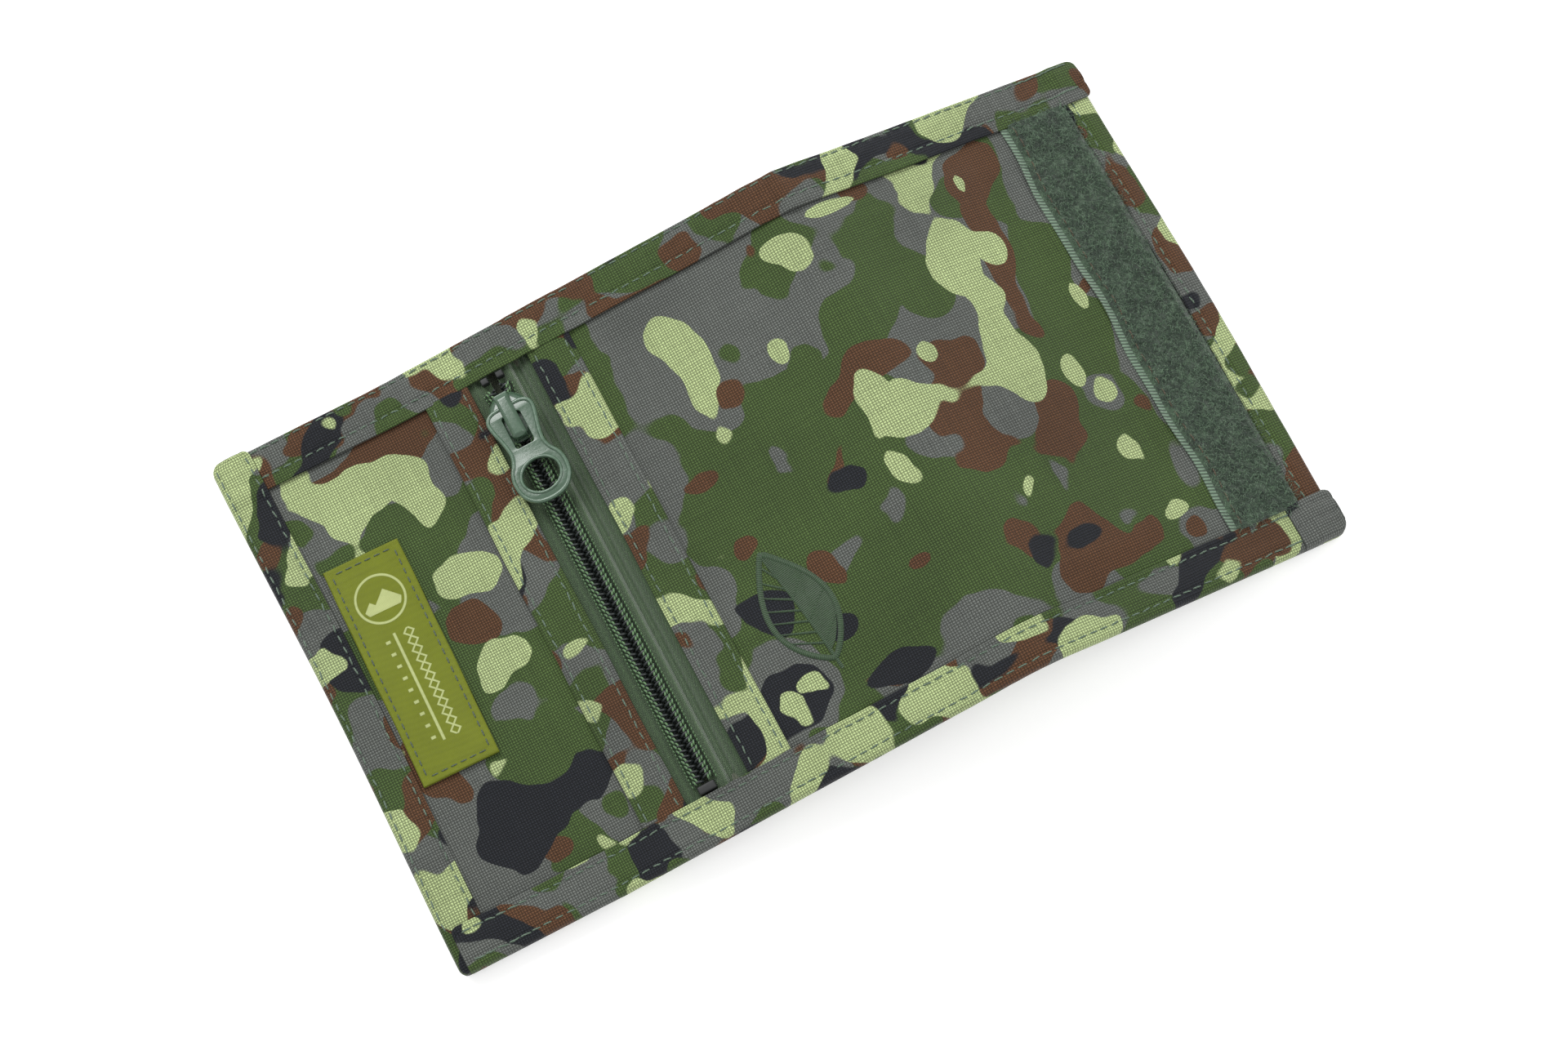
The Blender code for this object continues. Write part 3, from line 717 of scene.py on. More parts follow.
def sew(name, rows, top, where, seed):
    """Stitches along rows, each a (start, end) pair of (u, y) points, at the height top(u, y)."""
    lines = []
    for index, (start, end) in enumerate(rows):
        step, length = direction(start, end)
        s, aside, lift = stitch_marks(length, seed + index)
        u = start[0] + step[0] * s - step[1] * aside
        y = start[1] + step[1] * s + step[0] * aside
        lines.append(surface(u, y, top(u, y) + lift))
    thread_piece(name, lines, where)


# ---------------------------------------------------------------- bindings

LEAF = 0.6
BINDING_HEIGHT = 1.5
OUTER_ROW = 1.15
LAP = 0.85
SPLIT = FOLD_1 + 51.0
WALLET_CORNER = 2.2
STRIP_CORNER = 1.6
ROW_WANDER = (20.0, 70.0)
BINDING_CREASES = 1.3


class Binding:
    """One folded edge strip. along runs with the edge, and across in from it."""

    def __init__(self, name, width, rows, low, high, lap, seed, bow=0.0):
        self.bow = bow
        self.name = name
        self.width = width
        self.rows = rows
        self.low = low
        self.high = high
        self.lap = lap
        self.seed = seed

    def top(self, along, across):
        """Height of the upper face, raised over another strip and drawn down by its stitches."""
        height = BINDING_HEIGHT + LAP * self.lap(along)
        between = np.sin(math.pi * np.clip(across / self.rows[-1], 0.0, 1.0))
        height = height + 0.16 * between + 0.10 * waves(along, across * 2.5, self.seed, (5.0, 22.0))
        pull = 0.75 + 0.35 * np.cos(2.0 * math.pi * along / STITCH_PITCH)
        for row in self.rows:
            height = height - 0.32 * pull * bump(across, row, 0.55)
        pucker = 0.05 * np.sin(2.0 * math.pi * along / STITCH_PITCH + 1.3 * across)
        return height + pucker * bump(across, self.rows[-1], 1.6)

    def outline(self):
        """The C-shaped section: across, share of the way up to the upper face, and offset."""
        w = self.width
        fold = [(w, 1, -0.62), (w + 0.08, 1, -0.34), (w, 1, -0.1), (w - 0.25, 1, -0.01)]
        face = [(a, 1, 0.0) for a in np.linspace(w - 0.55, 0.95, 22)]
        turn = []
        for angle in np.radians((62.0, 30.0, 0.0, -30.0, -62.0)):
            turn.append((0.9 * (1.0 - math.cos(angle)), (1.0 + math.sin(angle)) / 2, 0.0))
        inner = self.width - 1.4
        below = [(a, 0, 0.0) for a in np.linspace(0.95, inner - 0.2, 6)]
        hem = [(inner, 0, 0.1), (inner, 0, 0.34)]
        back = [(a, 0, 0.45) for a in np.linspace(inner - 0.3, 1.6, 4)]
        web = [(1.25, 0, 0.7), (1.25, 1, -0.85)]
        ceiling = [(a, 1, -LEAF) for a in np.linspace(1.6, w - 0.5, 6)]
        return np.array(fold + face + turn + below + hem + back + web + ceiling, float)

    def corner(self, along):
        """How much narrower the strip is near its rounded ends."""
        gap = np.minimum(along - self.low, self.high - along)
        short = np.clip(STRIP_CORNER - gap, 0.0, STRIP_CORNER)
        return STRIP_CORNER - np.sqrt(STRIP_CORNER**2 - short**2)

    def rounded(self, along, across):
        """Draws the outer edge in near the wallet's corners, and adds the strip's small wander."""
        half = EDGE if self.low < 0.0 else LENGTH / 2
        middle = 0.0 if self.low < 0.0 else LENGTH / 2
        short = np.clip(WALLET_CORNER - (half - np.abs(along - middle)), 0.0, WALLET_CORNER)
        inset = WALLET_CORNER - np.sqrt(WALLET_CORNER**2 - short**2)
        share = np.clip(1.0 - across / self.width, 0.0, 1.0)
        wander = 0.16 * waves(along, np.zeros_like(along), self.seed + 5, (18.0, 60.0))
        bow = 0.5 * np.cos(math.pi * np.clip((along - middle) / half, -1.0, 1.0))
        sideways = self.bow * (bow - 0.1)
        return across + inset * share + wander * (1.0 - share) - sideways

    def build(self, name, low, high, to_uy, offset, where, nodes):
        """The strip between two places along it. offset shifts its part of the print."""
        outline = self.outline()
        stations = steps(low, high, 0.7)
        if low == self.low:
            stations = np.concatenate([[low, low + 0.1, low + 0.3], stations[1:]])
        if high == self.high:
            stations = np.concatenate([stations[:-1], [high - 0.3, high - 0.1, high]])
        along, across = np.meshgrid(stations, outline[:, 0], indexing="ij")
        share, shift = outline[:, 1], outline[:, 2]
        inset = self.corner(along)
        upper = self.top(along, across)
        shown = np.where(across > self.width / 2, across - inset, across)
        shown = self.rounded(along, shown)
        n = UNDERSIDE + share * (upper - UNDERSIDE) + shift
        u, y = to_uy(along, shown)
        points = surface(u, y, n + BINDING_CREASES * fold_creases(u, y))
        arc = arc_length(np.stack([outline[:, 0], outline[:, 1] * 3.2 + shift], -1), 0)
        uvs = np.stack([along + offset[0], np.broadcast_to(arc, along.shape) + offset[1]], -1)
        piece = loft(name, points, uvs, smooth_angle=60.0)
        print_tones(piece, STRIP_TONES if nodes else WRAP_TONES)
        settle(piece, CAMOUFLAGE, where, nodes)

    def sew(self, name, low, high, to_uy, where, seed):
        """Its rows of stitches between two places along the strip."""
        lines = []
        for index, row in enumerate(self.rows):
            s, aside, lift = stitch_marks(high - low, seed + 17 * index)
            along = low + s
            across = row + 0.12 * waves(s, s * 0, seed + index, ROW_WANDER) + aside
            u, y = to_uy(along, self.rounded(along, across))
            n = self.top(along, across) + lift + BINDING_CREASES * fold_creases(u, y)
            lines.append(surface(u, y, n))
        thread_piece(name, lines, where)


def no_lap(along):
    """The strip lies flat along its whole length."""
    return np.zeros(np.shape(along))


def right_lap(along):
    """Raised over the right binding."""
    return smooth((along - (LENGTH - BINDING_RIGHT - 2.4)) / 3.0)


def step_over(along, low, high):
    """1 where the binding lies on a strip between low and high, easing to 0 within 2 mm."""
    return smooth((along - low) / 2.0) * smooth((high - along) / 2.0)


def over_right_placket(along):
    return 0.45 * step_over(along, PLACKET_RIGHT[0] - 2.1, PLACKET_RIGHT[1] + 2.3)


def top_lap(along):
    fold_ridge = 0.55 * bump(along, FOLD_2 + 0.5, 1.6) - 0.35 * bump(along, FOLD_2 - 3.5, 2.2)
    return right_lap(along) + fold_ridge + over_right_placket(along)


def bottom_lap(along):
    over_left_placket = 0.30 * step_over(along, PLACKET_LEFT[0] - 1.7, PLACKET_LEFT[1] + 1.7)
    over_left_edge = smooth((BINDING_LEFT + 2.2 - along) / 3.0)
    return right_lap(along) + over_left_edge + over_right_placket(along) + over_left_placket


def wrap_lap(along):
    return right_lap(along) + 0.55


def left_lap(along):
    return smooth((along - (EDGE - BINDING_TOP - 2.2)) / 3.0)


def lower_uy(along, across):
    return along, across - EDGE


def left_uy(along, across):
    return across, along


def right_uy(along, across):
    return LENGTH - across, along


def make_bindings():
    """The four edge strips with their stitches, and the wrapped lower right end."""
    top = Binding("top", BINDING_TOP, (OUTER_ROW, 7.6), 0.9, LENGTH, top_lap, 21)
    bottom = Binding("bottom", BINDING_TOP, (2.2, 8.9), 1.6, LENGTH, bottom_lap, 31)
    for edge, side, offset in ((top, 1.0, (31.0, 170.0)), (bottom, -1.0, (90.0, 260.0))):
        def to_uy(along, across, side=side):
            return along, side * (EDGE - across)

        word = edge.name
        near_nodes = (f"flap_binding_{word}", f"back_binding_{word}")
        far_nodes = (f"front_binding_{word}",)
        near, far = f"binding_{word}_flap_side", f"binding_{word}_front_side"
        edge.build(near, edge.low, SPLIT, to_uy, offset, FLAP_BLEND, near_nodes)
        edge.build(far, SPLIT, edge.high, to_uy, offset, FRONT_BLEND, far_nodes)
        for part, low, high, blend, seed in (
            ("flap_side", edge.low + 1.0, SPLIT, FLAP_BLEND, 41),
            ("front_side", SPLIT, LENGTH - 2.0, FRONT_BLEND, 47),
            ("front_tack", LENGTH - 16.0, LENGTH - 1.2, FRONT_BLEND, 143),
            ("flap_tack", edge.low + 1.0, edge.low + 17.0, FLAP_BLEND, 149),
        ):
            edge.sew(f"stitching_{word}_{part}", low, high, to_uy, blend, seed)
    wrap = Binding(
        "wrap", BINDING_TOP + 0.15, (5.2, 8.9), LENGTH - 11.5, LENGTH + 0.12, wrap_lap, 33,
    )
    wrap_print = (170.0, 300.0)
    wrap.build(
        "binding_bottom_end_wrap", wrap.low, wrap.high, lower_uy, wrap_print, FRONT_BLEND, ()
    )
    low, high = -EDGE + 0.4, EDGE
    left = Binding("left", BINDING_LEFT, (OUTER_ROW, 8.3), low, high, left_lap, 51, -0.8)
    right = Binding("right", BINDING_RIGHT, (4.9,), low, high - 0.4, no_lap, 61, 0.9)
    for edge, to_uy, offset, where, end, seed in (
        (left, left_uy, (320.0, 20.0), "closure_flap", 1.2, 71),
        (right, right_uy, (410.0, 60.0), "front_panel", 9.0, 77),
    ):
        word = edge.name
        nodes = (f"binding_{word}",)
        edge.build(f"binding_{word}_edge", edge.low, edge.high, to_uy, offset, where, nodes)
        edge.sew(f"stitching_{word}", edge.low + 10.0, edge.high - end, to_uy, where, seed)


make_bindings()

# ---------------------------------------------------------------- plackets beside the zip

PLACKET_THICK = 0.8
PLACKET_END = EDGE - BINDING_TOP + 0.4


def placket_top(left, right, seed):
    """The height of a placket's face, drawn down by its two rows of stitches, and those rows."""
    rows = (1.5, right - left - 1.5)

    def top(u, y):
        across = u - left
        between = np.clip((across - rows[0]) / (rows[1] - rows[0]), 0, 1)
        height = CLOTH + PLACKET_THICK + 0.09 * waves(u * 2.0, y, seed, (6.0, 26.0))
        height = height + 0.14 * np.sin(math.pi * between)
        pull = 0.75 + 0.35 * np.cos(2.0 * math.pi * y / STITCH_PITCH)
        for row in rows:
            height = height - 0.22 * pull * bump(across, row, 0.5)
        return height + fold_creases(u, y)

    return top, rows


def make_placket(word, span, zip_side, seed, offset):
    """A folded strip sewn over the edge of the outer cloth, beside the zip's opening."""
    left, right = span
    width = right - left
    top, rows = placket_top(left, right, seed)
    face = [(a, 1, 0.0) for a in np.linspace(0.35, width - 0.35, 20)]
    ends = []
    for side in ("left", "right"):
        low = -0.95 if side == zip_side else -0.12
        ends.append([(0.3, 0, low - 0.05), (0.0, 0, low + 0.12), (0.0, 1, -0.35), (0.1, 1, -0.1)])
    start = ends[0]
    end = [(width - a, share, shift) for a, share, shift in reversed(ends[1])]
    outline = np.array(start + face + end, float)
    ys = steps(-PLACKET_END, PLACKET_END, 0.7)
    y, across = np.meshgrid(ys, outline[:, 0], indexing="ij")
    share, shift = outline[:, 1], outline[:, 2]
    wander = 0.15 * waves(y, y * 0.0, seed + 3, (20.0, 60.0))
    u = left + across + wander
    n = np.where(share == 1, top(u, y), CLOTH) + shift
    arc = arc_length(outline[:, :2] * (1.0, 1.2), 0)
    uvs = np.stack([np.broadcast_to(arc, y.shape) + offset[0], y + offset[1]], -1)
    piece = loft(f"placket_{word}_strip", surface(u, y, n), uvs, smooth_angle=60.0)
    print_tones(piece, STRIP_TONES)
    settle(piece, CAMOUFLAGE, "back_panel", (f"placket_{word}",))
    lines = [((left + row, PLACKET_END), (left + row, -PLACKET_END)) for row in rows]
    sew(f"stitching_placket_{word}", lines, top, "back_panel", seed + 9)


make_placket("left", PLACKET_LEFT, "right", 81, (145.0, 330.0))
make_placket("right", PLACKET_RIGHT, "left", 87, (205.0, 420.0))

# ---------------------------------------------------------------- zip

CHAIN_HALF = 51.7
COIL_PITCH = 1.3
COIL_RADIUS = 0.30
TURN_POINTS = 12
TOP_STOP_Y = 53.4
BOTTOM_STOP_Y = -53.0
EDGE_THREAD_PITCH = 0.9
TAPE_LEFT = (FOLD_1 + 11.45, ZIP - 0.9)
TAPE_RIGHT = (ZIP + 0.9, FOLD_1 + 38.95)


def tape_finish():
    """Herringbone tape: ribs along the zip whose slant turns at every rib."""
    nodes = Nodes("zip_tape")
    uv = nodes.uv()
    x, y, _ = nodes.split(uv)
    fold = nodes.math("PINGPONG", x, 0.00072)
    slant = nodes.plus(nodes.times(fold, 1.6), y)
    yarn = nodes.sine(nodes.times(slant, 2.0 * math.pi / 0.00052))
    rib = nodes.math("COSINE", nodes.times(x, 2.0 * math.pi / 0.00144))
    height = nodes.scaled(yarn, 0.4, nodes.scaled(rib, 0.1, 0.5))
    speck = nodes.remap(nodes.noise(uv, 2600.0, 2.0, 0.7), 0.55, 0.72)
    # Painted shade: darker in the grooves of the herringbone and lighter on its yarns.
    dark = nodes.mix(height, linear((0.09, 0.15, 0.09)), linear((0.29, 0.39, 0.25)))
    colour = nodes.mix(nodes.times(speck, 0.45), dark, linear((0.48, 0.60, 0.42)))
    normal = nodes.bump(height, 0.00018)
    return nodes.finish(colour, 0.62, normal, Sheen_Weight=0.3, Sheen_Roughness=0.4)


def plastic_finish(name, colour, roughness):
    """Moulded plastic with a faintly uneven gloss."""
    nodes = Nodes(name)
    position = nodes.position()
    cloud = nodes.noise(position, 600.0, 3.0)
    shade = nodes.scaled(cloud, 0.4, 0.8)
    tone = nodes.tint(linear(colour), shade)
    rough = nodes.scaled(cloud, 0.2, roughness - 0.1)
    return nodes.finish(tone, rough, nodes.bump(cloud, 0.00005))


def enamel_finish():
    """Glossy grey-green enamel with a faint orange peel, and a painted highlight along the rims."""
    nodes = Nodes("slider_enamel")
    geometry = nodes.add("ShaderNodeNewGeometry")
    peel = nodes.noise(geometry.outputs["Position"], 1400.0, 2.0)
    # Painted highlight: a paler colour on the sharp rims, broken up in patches; the patches also
    # vary the roughness.
    painted_light = nodes.remap(geometry.outputs["Pointiness"], 0.50, 0.60)
    gloss_patches = nodes.noise(geometry.outputs["Position"], 500.0, 4.0, 0.7)
    pale = nodes.times(painted_light, nodes.remap(gloss_patches, 0.35, 0.65, 0.2, 0.75))
    colour = nodes.mix(pale, linear((0.225, 0.315, 0.245)), linear((0.40, 0.50, 0.42)))
    rough = nodes.scaled(gloss_patches, 0.22, 0.16)
    normal = nodes.bump(peel, 0.00003)
    return nodes.finish(colour, rough, normal, Coat_Weight=0.35, Coat_Roughness=0.15)


def tape_height(u):
    """The right tape dips between the chain and its placket, a dark valley in the opening."""
    valley = -1.30 * bump(u, ZIP + 6.2, 1.3)
    swell = 0.80 * bump(u, ZIP + 4.0, 1.0) + 0.35 * bump(u, ZIP - 4.6, 1.1)
    return -0.35 + valley + swell


def make_tape(word, span):
    """One half of the zip's woven tape."""
    half = EDGE - SEAM_ALLOWANCE
    us = steps(*span, 0.5)
    ys = steps(-half, half, 1.2)

    def top(u, y):
        return tape_height(u) + 0.08 * waves(u * 1.5, y, 91, (9.0, 30.0))

    piece = cloth_sheet(f"zip_tape_{word}_woven", us, ys, top, 0.35)
    settle(piece, TAPE_FINISH, "back_panel", (f"zip_tape_{word}",))


def chain_gap(y):
    """The chain stands open above the slider."""
    return 0.75 * smooth((np.asarray(y) - 46.0) / 5.0)


def make_coil(word, side):
    """One side of the chain: a flattened helix, and the two rows of stitches that hold it down."""
    turns = int(2 * CHAIN_HALF / COIL_PITCH)
    pitch = (2 * CHAIN_HALF - COIL_PITCH) / turns
    turn = np.arange(turns * TURN_POINTS + 1) / TURN_POINTS
    angle = 2.0 * math.pi * turn
    y = -CHAIN_HALF + (turn + 0.25 * side) * pitch + COIL_PITCH / 2
    u = ZIP + side * (1.25 - 1.10 * np.cos(angle) + chain_gap(y))
    helix = surface(u, y, 0.95 + 0.80 * np.sin(angle))[None]
    coil = tubes(f"zip_coil_{word}_helix", helix, COIL_RADIUS, 6, (0.0, 1.0, 0.0))
    settle(coil, COIL_FINISH, "back_panel", (f"zip_coil_{word}",))
    rng = np.random.RandomState(3 if side > 0 else 4)
    shape = np.linspace(-1.0, 1.0, 5)
    lines = []
    for k in range(turns):
        middle = -CHAIN_HALF + (k + 0.75) * pitch
        s = shape * 0.52
        for strand in (-0.24, 0.24):
            foot = ZIP + side * (1.72 + float(chain_gap(middle))) + rng.uniform(-0.05, 0.05)
            across = foot + strand * 1.3 + 0.35 * side * s
            lift = 2.05 - 0.55 * np.abs(shape) ** 2.5
            lines.append(surface(across, middle + s + strand * 0.8, lift))
    taper = np.array([0.7, 1, 1, 1, 0.7])
    thread = tubes(f"zip_coil_{word}_thread", np.array(lines), 0.22 * taper, 6)
    settle(thread, COIL_THREAD, "back_panel")
    edge = []
    for k in range(int(2 * CHAIN_HALF / EDGE_THREAD_PITCH)):
        middle = -CHAIN_HALF + (k + 0.5) * EDGE_THREAD_PITCH
        s = shape * 0.42
        rim_u = side * (2.85 + 0.25 * s + float(chain_gap(middle)))
        edge.append(surface(ZIP + rim_u, middle + s, 0.25 - 0.45 * np.abs(shape) ** 2.0))
    taper = np.array([0.6, 1, 1, 1, 0.6])
    rim = tubes(f"zip_coil_{word}_edge_thread", np.array(edge), 0.17 * taper, 5)
    settle(rim, COIL_THREAD, "back_panel")


def soft_block(points, bevel):
    """A convex solid with rounded edges, as a bmesh."""
    work = bmesh.new()
    for point in points:
        work.verts.new(point)
    bmesh.ops.convex_hull(work, input=work.verts[:])
    flat_enough = math.radians(4.0)
    bmesh.ops.dissolve_limit(
        work, angle_limit=flat_enough, verts=work.verts[:], edges=work.edges[:]
    )
    bmesh.ops.bevel(
        work, geom=work.edges[:], offset=bevel, segments=3, profile=0.6, affect="EDGES",
        clamp_overlap=True,
    )
    return work


def box_corners(x, y, z):
    """Every combination of these coordinates."""
    return [(a, b, c) for a in x for b in y for c in z]


def joined(name, works, material, to_row, where, nodes, angle=45.0):
    """One piece from several solids given in local millimetres."""
    mesh = bpy.data.meshes.new(name)
    whole = bmesh.new()
    for work in works:
        part = bpy.data.meshes.new("part")
        work.to_mesh(part)
        work.free()
        whole.from_mesh(part)
        bpy.data.meshes.remove(part)
    bmesh.ops.recalc_face_normals(whole, faces=whole.faces[:])
    for vert in whole.verts:
        vert.co = Vector(to_row(*vert.co) * MM)
    whole.to_mesh(mesh)
    whole.free()
    settle(shown(name, mesh, angle), material, where, nodes)


def zip_place(x, y, n):
    """A point of the zip's own frame: across from the chain, along it, out of the cloth."""
    return surface(ZIP + x, y, n)


def make_stops():
    """A clamp at the top of each coil, and a wider one across the chain's foot."""
    for node, x, y, half_x, half_y, top, bevel in (
        ("zip_top_stop_left", -1.9, TOP_STOP_Y, 0.9, 0.75, 1.75, 0.35),
        ("zip_top_stop_right", 1.9, TOP_STOP_Y, 0.9, 0.75, 1.75, 0.35),
        ("zip_bottom_stop", 0.0, BOTTOM_STOP_Y, 2.1, 0.95, 1.95, 0.4),
    ):
        corners = box_corners((x - half_x, x + half_x), (y - half_y, y + half_y), (-0.2, top))
        joined(
            f"{node}_clamp", [soft_block(corners, bevel)], STOP_FINISH, zip_place,
            "back_panel", (node,),
        )


SLIDER_MIDDLE = 42.5
PULLER_AXIS = (43.4, 4.4)


def make_slider():
    """A die-cast body with a rounded nose, sloping wings, and a chamfered bar over the puller."""
    middle = SLIDER_MIDDLE

    def outline(scale_x, scale_y, n, shift=0.0):
        points = []
        for x, y in (
            (0.0, 6.1), (1.9, 5.75), (3.3, 4.7), (4.35, 2.9), (4.75, 1.2), (4.4, -0.8),
            (3.95, -3.0), (3.75, -5.2), (2.6, -6.0),
        ):
            for side in (-1, 1):
                points.append((side * x * scale_x, middle + shift + y * scale_y, n))
        return points

    walls = outline(1.0, 1.0, 0.9) + outline(1.0, 1.0, 1.7)
    body = soft_block(walls + outline(0.66, 0.80, 3.3, 0.2), 0.22)
    under = soft_block(outline(0.94, 0.95, -1.8) + outline(0.98, 0.98, -1.1), 0.2)
    post = soft_block(box_corners((-0.45, 0.45), (middle + 2.2, middle + 5.0), (-1.6, 2.4)), 0.1)
    bar_low, bar_high = middle - 5.9, middle + 5.2
    bar = []
    for x, y0, y1, n in ((1.65, bar_low, bar_high, 5.35), (1.65, bar_low, bar_high - 0.2, 5.75)):
        bar += box_corners((-x, x), (y0 + 0.5, y1), (n,))
        bar += box_corners((-x + 0.7, x - 0.7), (y0,), (n,))
    bar += box_corners((-1.0, 1.0), (bar_low + 0.75, bar_high - 1.4), (6.45,))
    bridge = soft_block(bar, 0.22)
    nose = box_corners((-1.6, 1.6), (bar_high - 0.9, bar_high), (5.7,))
    nose += box_corners((-1.9, 1.9), (bar_high - 1.2, bar_high + 0.7), (2.4,))
    front = soft_block(nose, 0.25)
    tail = soft_block(box_corners((-1.5, 1.5), (bar_low + 0.25, bar_low + 1.35), (2.4, 5.7)), 0.2)
    collar = []
    for side in (-1, 1):
        wing = [(side * x, middle + y, n) for n in (1.3, 2.2) for x, y in (
            (1.2, 6.2), (2.4, 5.6), (3.7, 4.4), (4.8, 2.7), (4.95, 2.2), (1.2, 2.2),
        )]
        wing += [(side * x, middle + y, n) for x, y, n in (
            (1.2, 5.0, 3.7), (1.2, 2.35, 4.3), (3.4, 2.35, 4.15), (4.3, 2.3, 3.7), (3.0, 4.0, 3.6),
        )]
        collar.append(soft_block(wing, 0.22))
    joined(
        "slider_casting", [body, under, post, bridge, front, tail] + collar, ENAMEL, zip_place,
        "zip_slider", ("slider_body",), 50.0,
    )


def smooth_loop(points, count=160):
    """A closed smooth curve through a few points (Catmull-Rom)."""
    points = np.array(points, float)
    size = len(points)
    t = np.arange(count) * size / count
    index = t.astype(int)
    t = (t - index)[:, None]
    a, b, c, d = (points[(index + k) % size] for k in (-1, 0, 1, 2))
    square, cube = 2 * a - 5 * b + 4 * c - d, 3 * b - 3 * c + d - a
    return 0.5 * (2 * b + (c - a) * t + square * t * t + cube * t**3)


def rounded_rectangle(low, high, radius, count):
    """Points round a rectangle, with this many on the arc of each corner."""
    (low_x, low_y), (high_x, high_y) = low, high
    loop = []
    for x, y, first in (
        (high_x - radius, high_y - radius, 0), (low_x + radius, high_y - radius, 90),
        (low_x + radius, low_y + radius, 180), (high_x - radius, low_y + radius, 270),
    ):
        for turn in np.radians(np.linspace(first, first + 90, count)):
            loop.append((x + radius * math.cos(turn), y + radius * math.sin(turn)))
    return np.array(loop)


def inward(loop, distance, sign=1.0):
    """The loop moved sideways by a distance."""
    tangent = unit(np.roll(loop, -1, 0) - np.roll(loop, 1, 0))
    normal = np.stack([-tangent[:, 1], tangent[:, 0]], -1)
    return loop + sign * distance * normal


def ring_solid(loop, profile, sign):
    """A closed rim swept round a loop. profile is (distance in, height) points."""
    work = bmesh.new()
    rings = []
    for distance, height in profile:
        ring = inward(loop, distance, sign)
        rings.append([work.verts.new((x, y, height)) for x, y in ring])
    count = len(loop)
    for ring, following in zip(rings, rings[1:] + rings[:1]):
        for i in range(count):
            j = (i + 1) % count
            work.faces.new((ring[i], ring[j], following[j], following[i]))
    return work


def plate_solid(outer, holes, low, high, bevel):
    """A flat plate with holes, cut from closed loops."""
    curve = bpy.data.curves.new("plate", "CURVE")
    curve.dimensions = "2D"
    curve.fill_mode = "BOTH"
    curve.extrude = (high - low) / 2 - bevel
    curve.bevel_depth = bevel
    curve.bevel_resolution = 2
    curve.offset = -bevel
    for loop in [outer] + holes:
        spline = curve.splines.new("POLY")
        spline.points.add(len(loop) - 1)
        level, weight = np.zeros(len(loop)), np.ones(len(loop))
        spline.points.foreach_set("co", np.column_stack([loop, level, weight]).ravel())
        spline.use_cyclic_u = True
    holder = bpy.data.objects.new("plate", curve)
    bpy.context.scene.collection.objects.link(holder)
    bpy.context.view_layer.update()
    ready = holder.evaluated_get(bpy.context.evaluated_depsgraph_get())
    mesh = bpy.data.meshes.new_from_object(ready)
    work = bmesh.new()
    work.from_mesh(mesh)
    bmesh.ops.remove_doubles(work, verts=work.verts[:], dist=0.0001)
    for vert in work.verts:
        vert.co.z += (low + high) / 2
    bpy.data.objects.remove(holder)
    bpy.data.meshes.remove(mesh)
    return work


def make_puller():
    """A pull tab: wide shoulders with a window for the slider's bar, a waist, and a ring."""
    ring_y = -16.6
    shoulder = [(3.4, 0.7), (4.85, -0.4), (4.75, -2.6), (4.1, -5.2)]
    waist = [(3.6, -7.6), (3.45, -9.8), (4.1, -12.0)]
    ring = [(5.3, -14.0), (5.75, -16.4), (5.2, -19.2), (3.3, -21.3)]
    side = shoulder + waist + ring
    outline = side + [(0.0, -22.0)] + [(-x, y) for x, y in reversed(side)] + [(0.0, 0.75)]
    outer = smooth_loop(outline[::-1], 240)
    angle = np.linspace(0.0, 2.0 * math.pi, 72, endpoint=False)
    hole = np.column_stack([4.45 * np.cos(angle), ring_y + 3.85 * np.sin(angle)])
    window = rounded_rectangle((-2.3, -8.9), (2.3, -0.75), 0.7, 7)
    plate = plate_solid(inward(outer, 0.35, -1.0), [hole, window], -0.42, 0.36, 0.12)
    rim = [(0.0, -0.25), (0.12, -0.5), (0.4, -0.6), (0.85, -0.55), (0.95, -0.3), (0.95, 0.3)]
    rim += [(0.85, 0.55), (0.55, 0.72), (0.25, 0.68), (0.05, 0.45), (0.0, 0.2)]
    outer_rim = ring_solid(outer, rim, -1.0)
    hole_rim = ring_solid(hole, [(d * 0.8 - 0.15, h * 0.98) for d, h in rim], -1.0)

    def to_row(x, y, n):
        return zip_place(x, PULLER_AXIS[0] + y, PULLER_AXIS[1] + n)

    joined(
        "puller_tab", [plate, outer_rim, hole_rim], ENAMEL, to_row, "zip_puller",
        ("puller",), 50.0,
    )


TAPE_FINISH = tape_finish()
COIL_FINISH = plastic_finish("zip_coil", (0.12, 0.14, 0.14), 0.3)
STOP_FINISH = plastic_finish("zip_stop", (0.07, 0.08, 0.08), 0.6)
COIL_THREAD = thread_material("zip_thread", (0.32, 0.45, 0.29), 0.5)
ENAMEL = enamel_finish()

make_tape("left", TAPE_LEFT)
make_tape("right", TAPE_RIGHT)
make_coil("left", -1)
make_coil("right", 1)
make_stops()
make_slider()
make_puller()

# ---------------------------------------------------------------- woven label

LABEL_CENTRE = (20.2, 3.6)
LABEL_SIZE = (18.3, 54.5)
LABEL_TURN = math.radians(-1.2)
LABEL_TOP = 1.35
LABEL_STITCHES = 1.6


def label_place(x, y):
    """From the label's own axes to the wallet's u and y."""
    c, s = math.cos(LABEL_TURN), math.sin(LABEL_TURN)
    return LABEL_CENTRE[0] + x * c - y * s, LABEL_CENTRE[1] + x * s + y * c


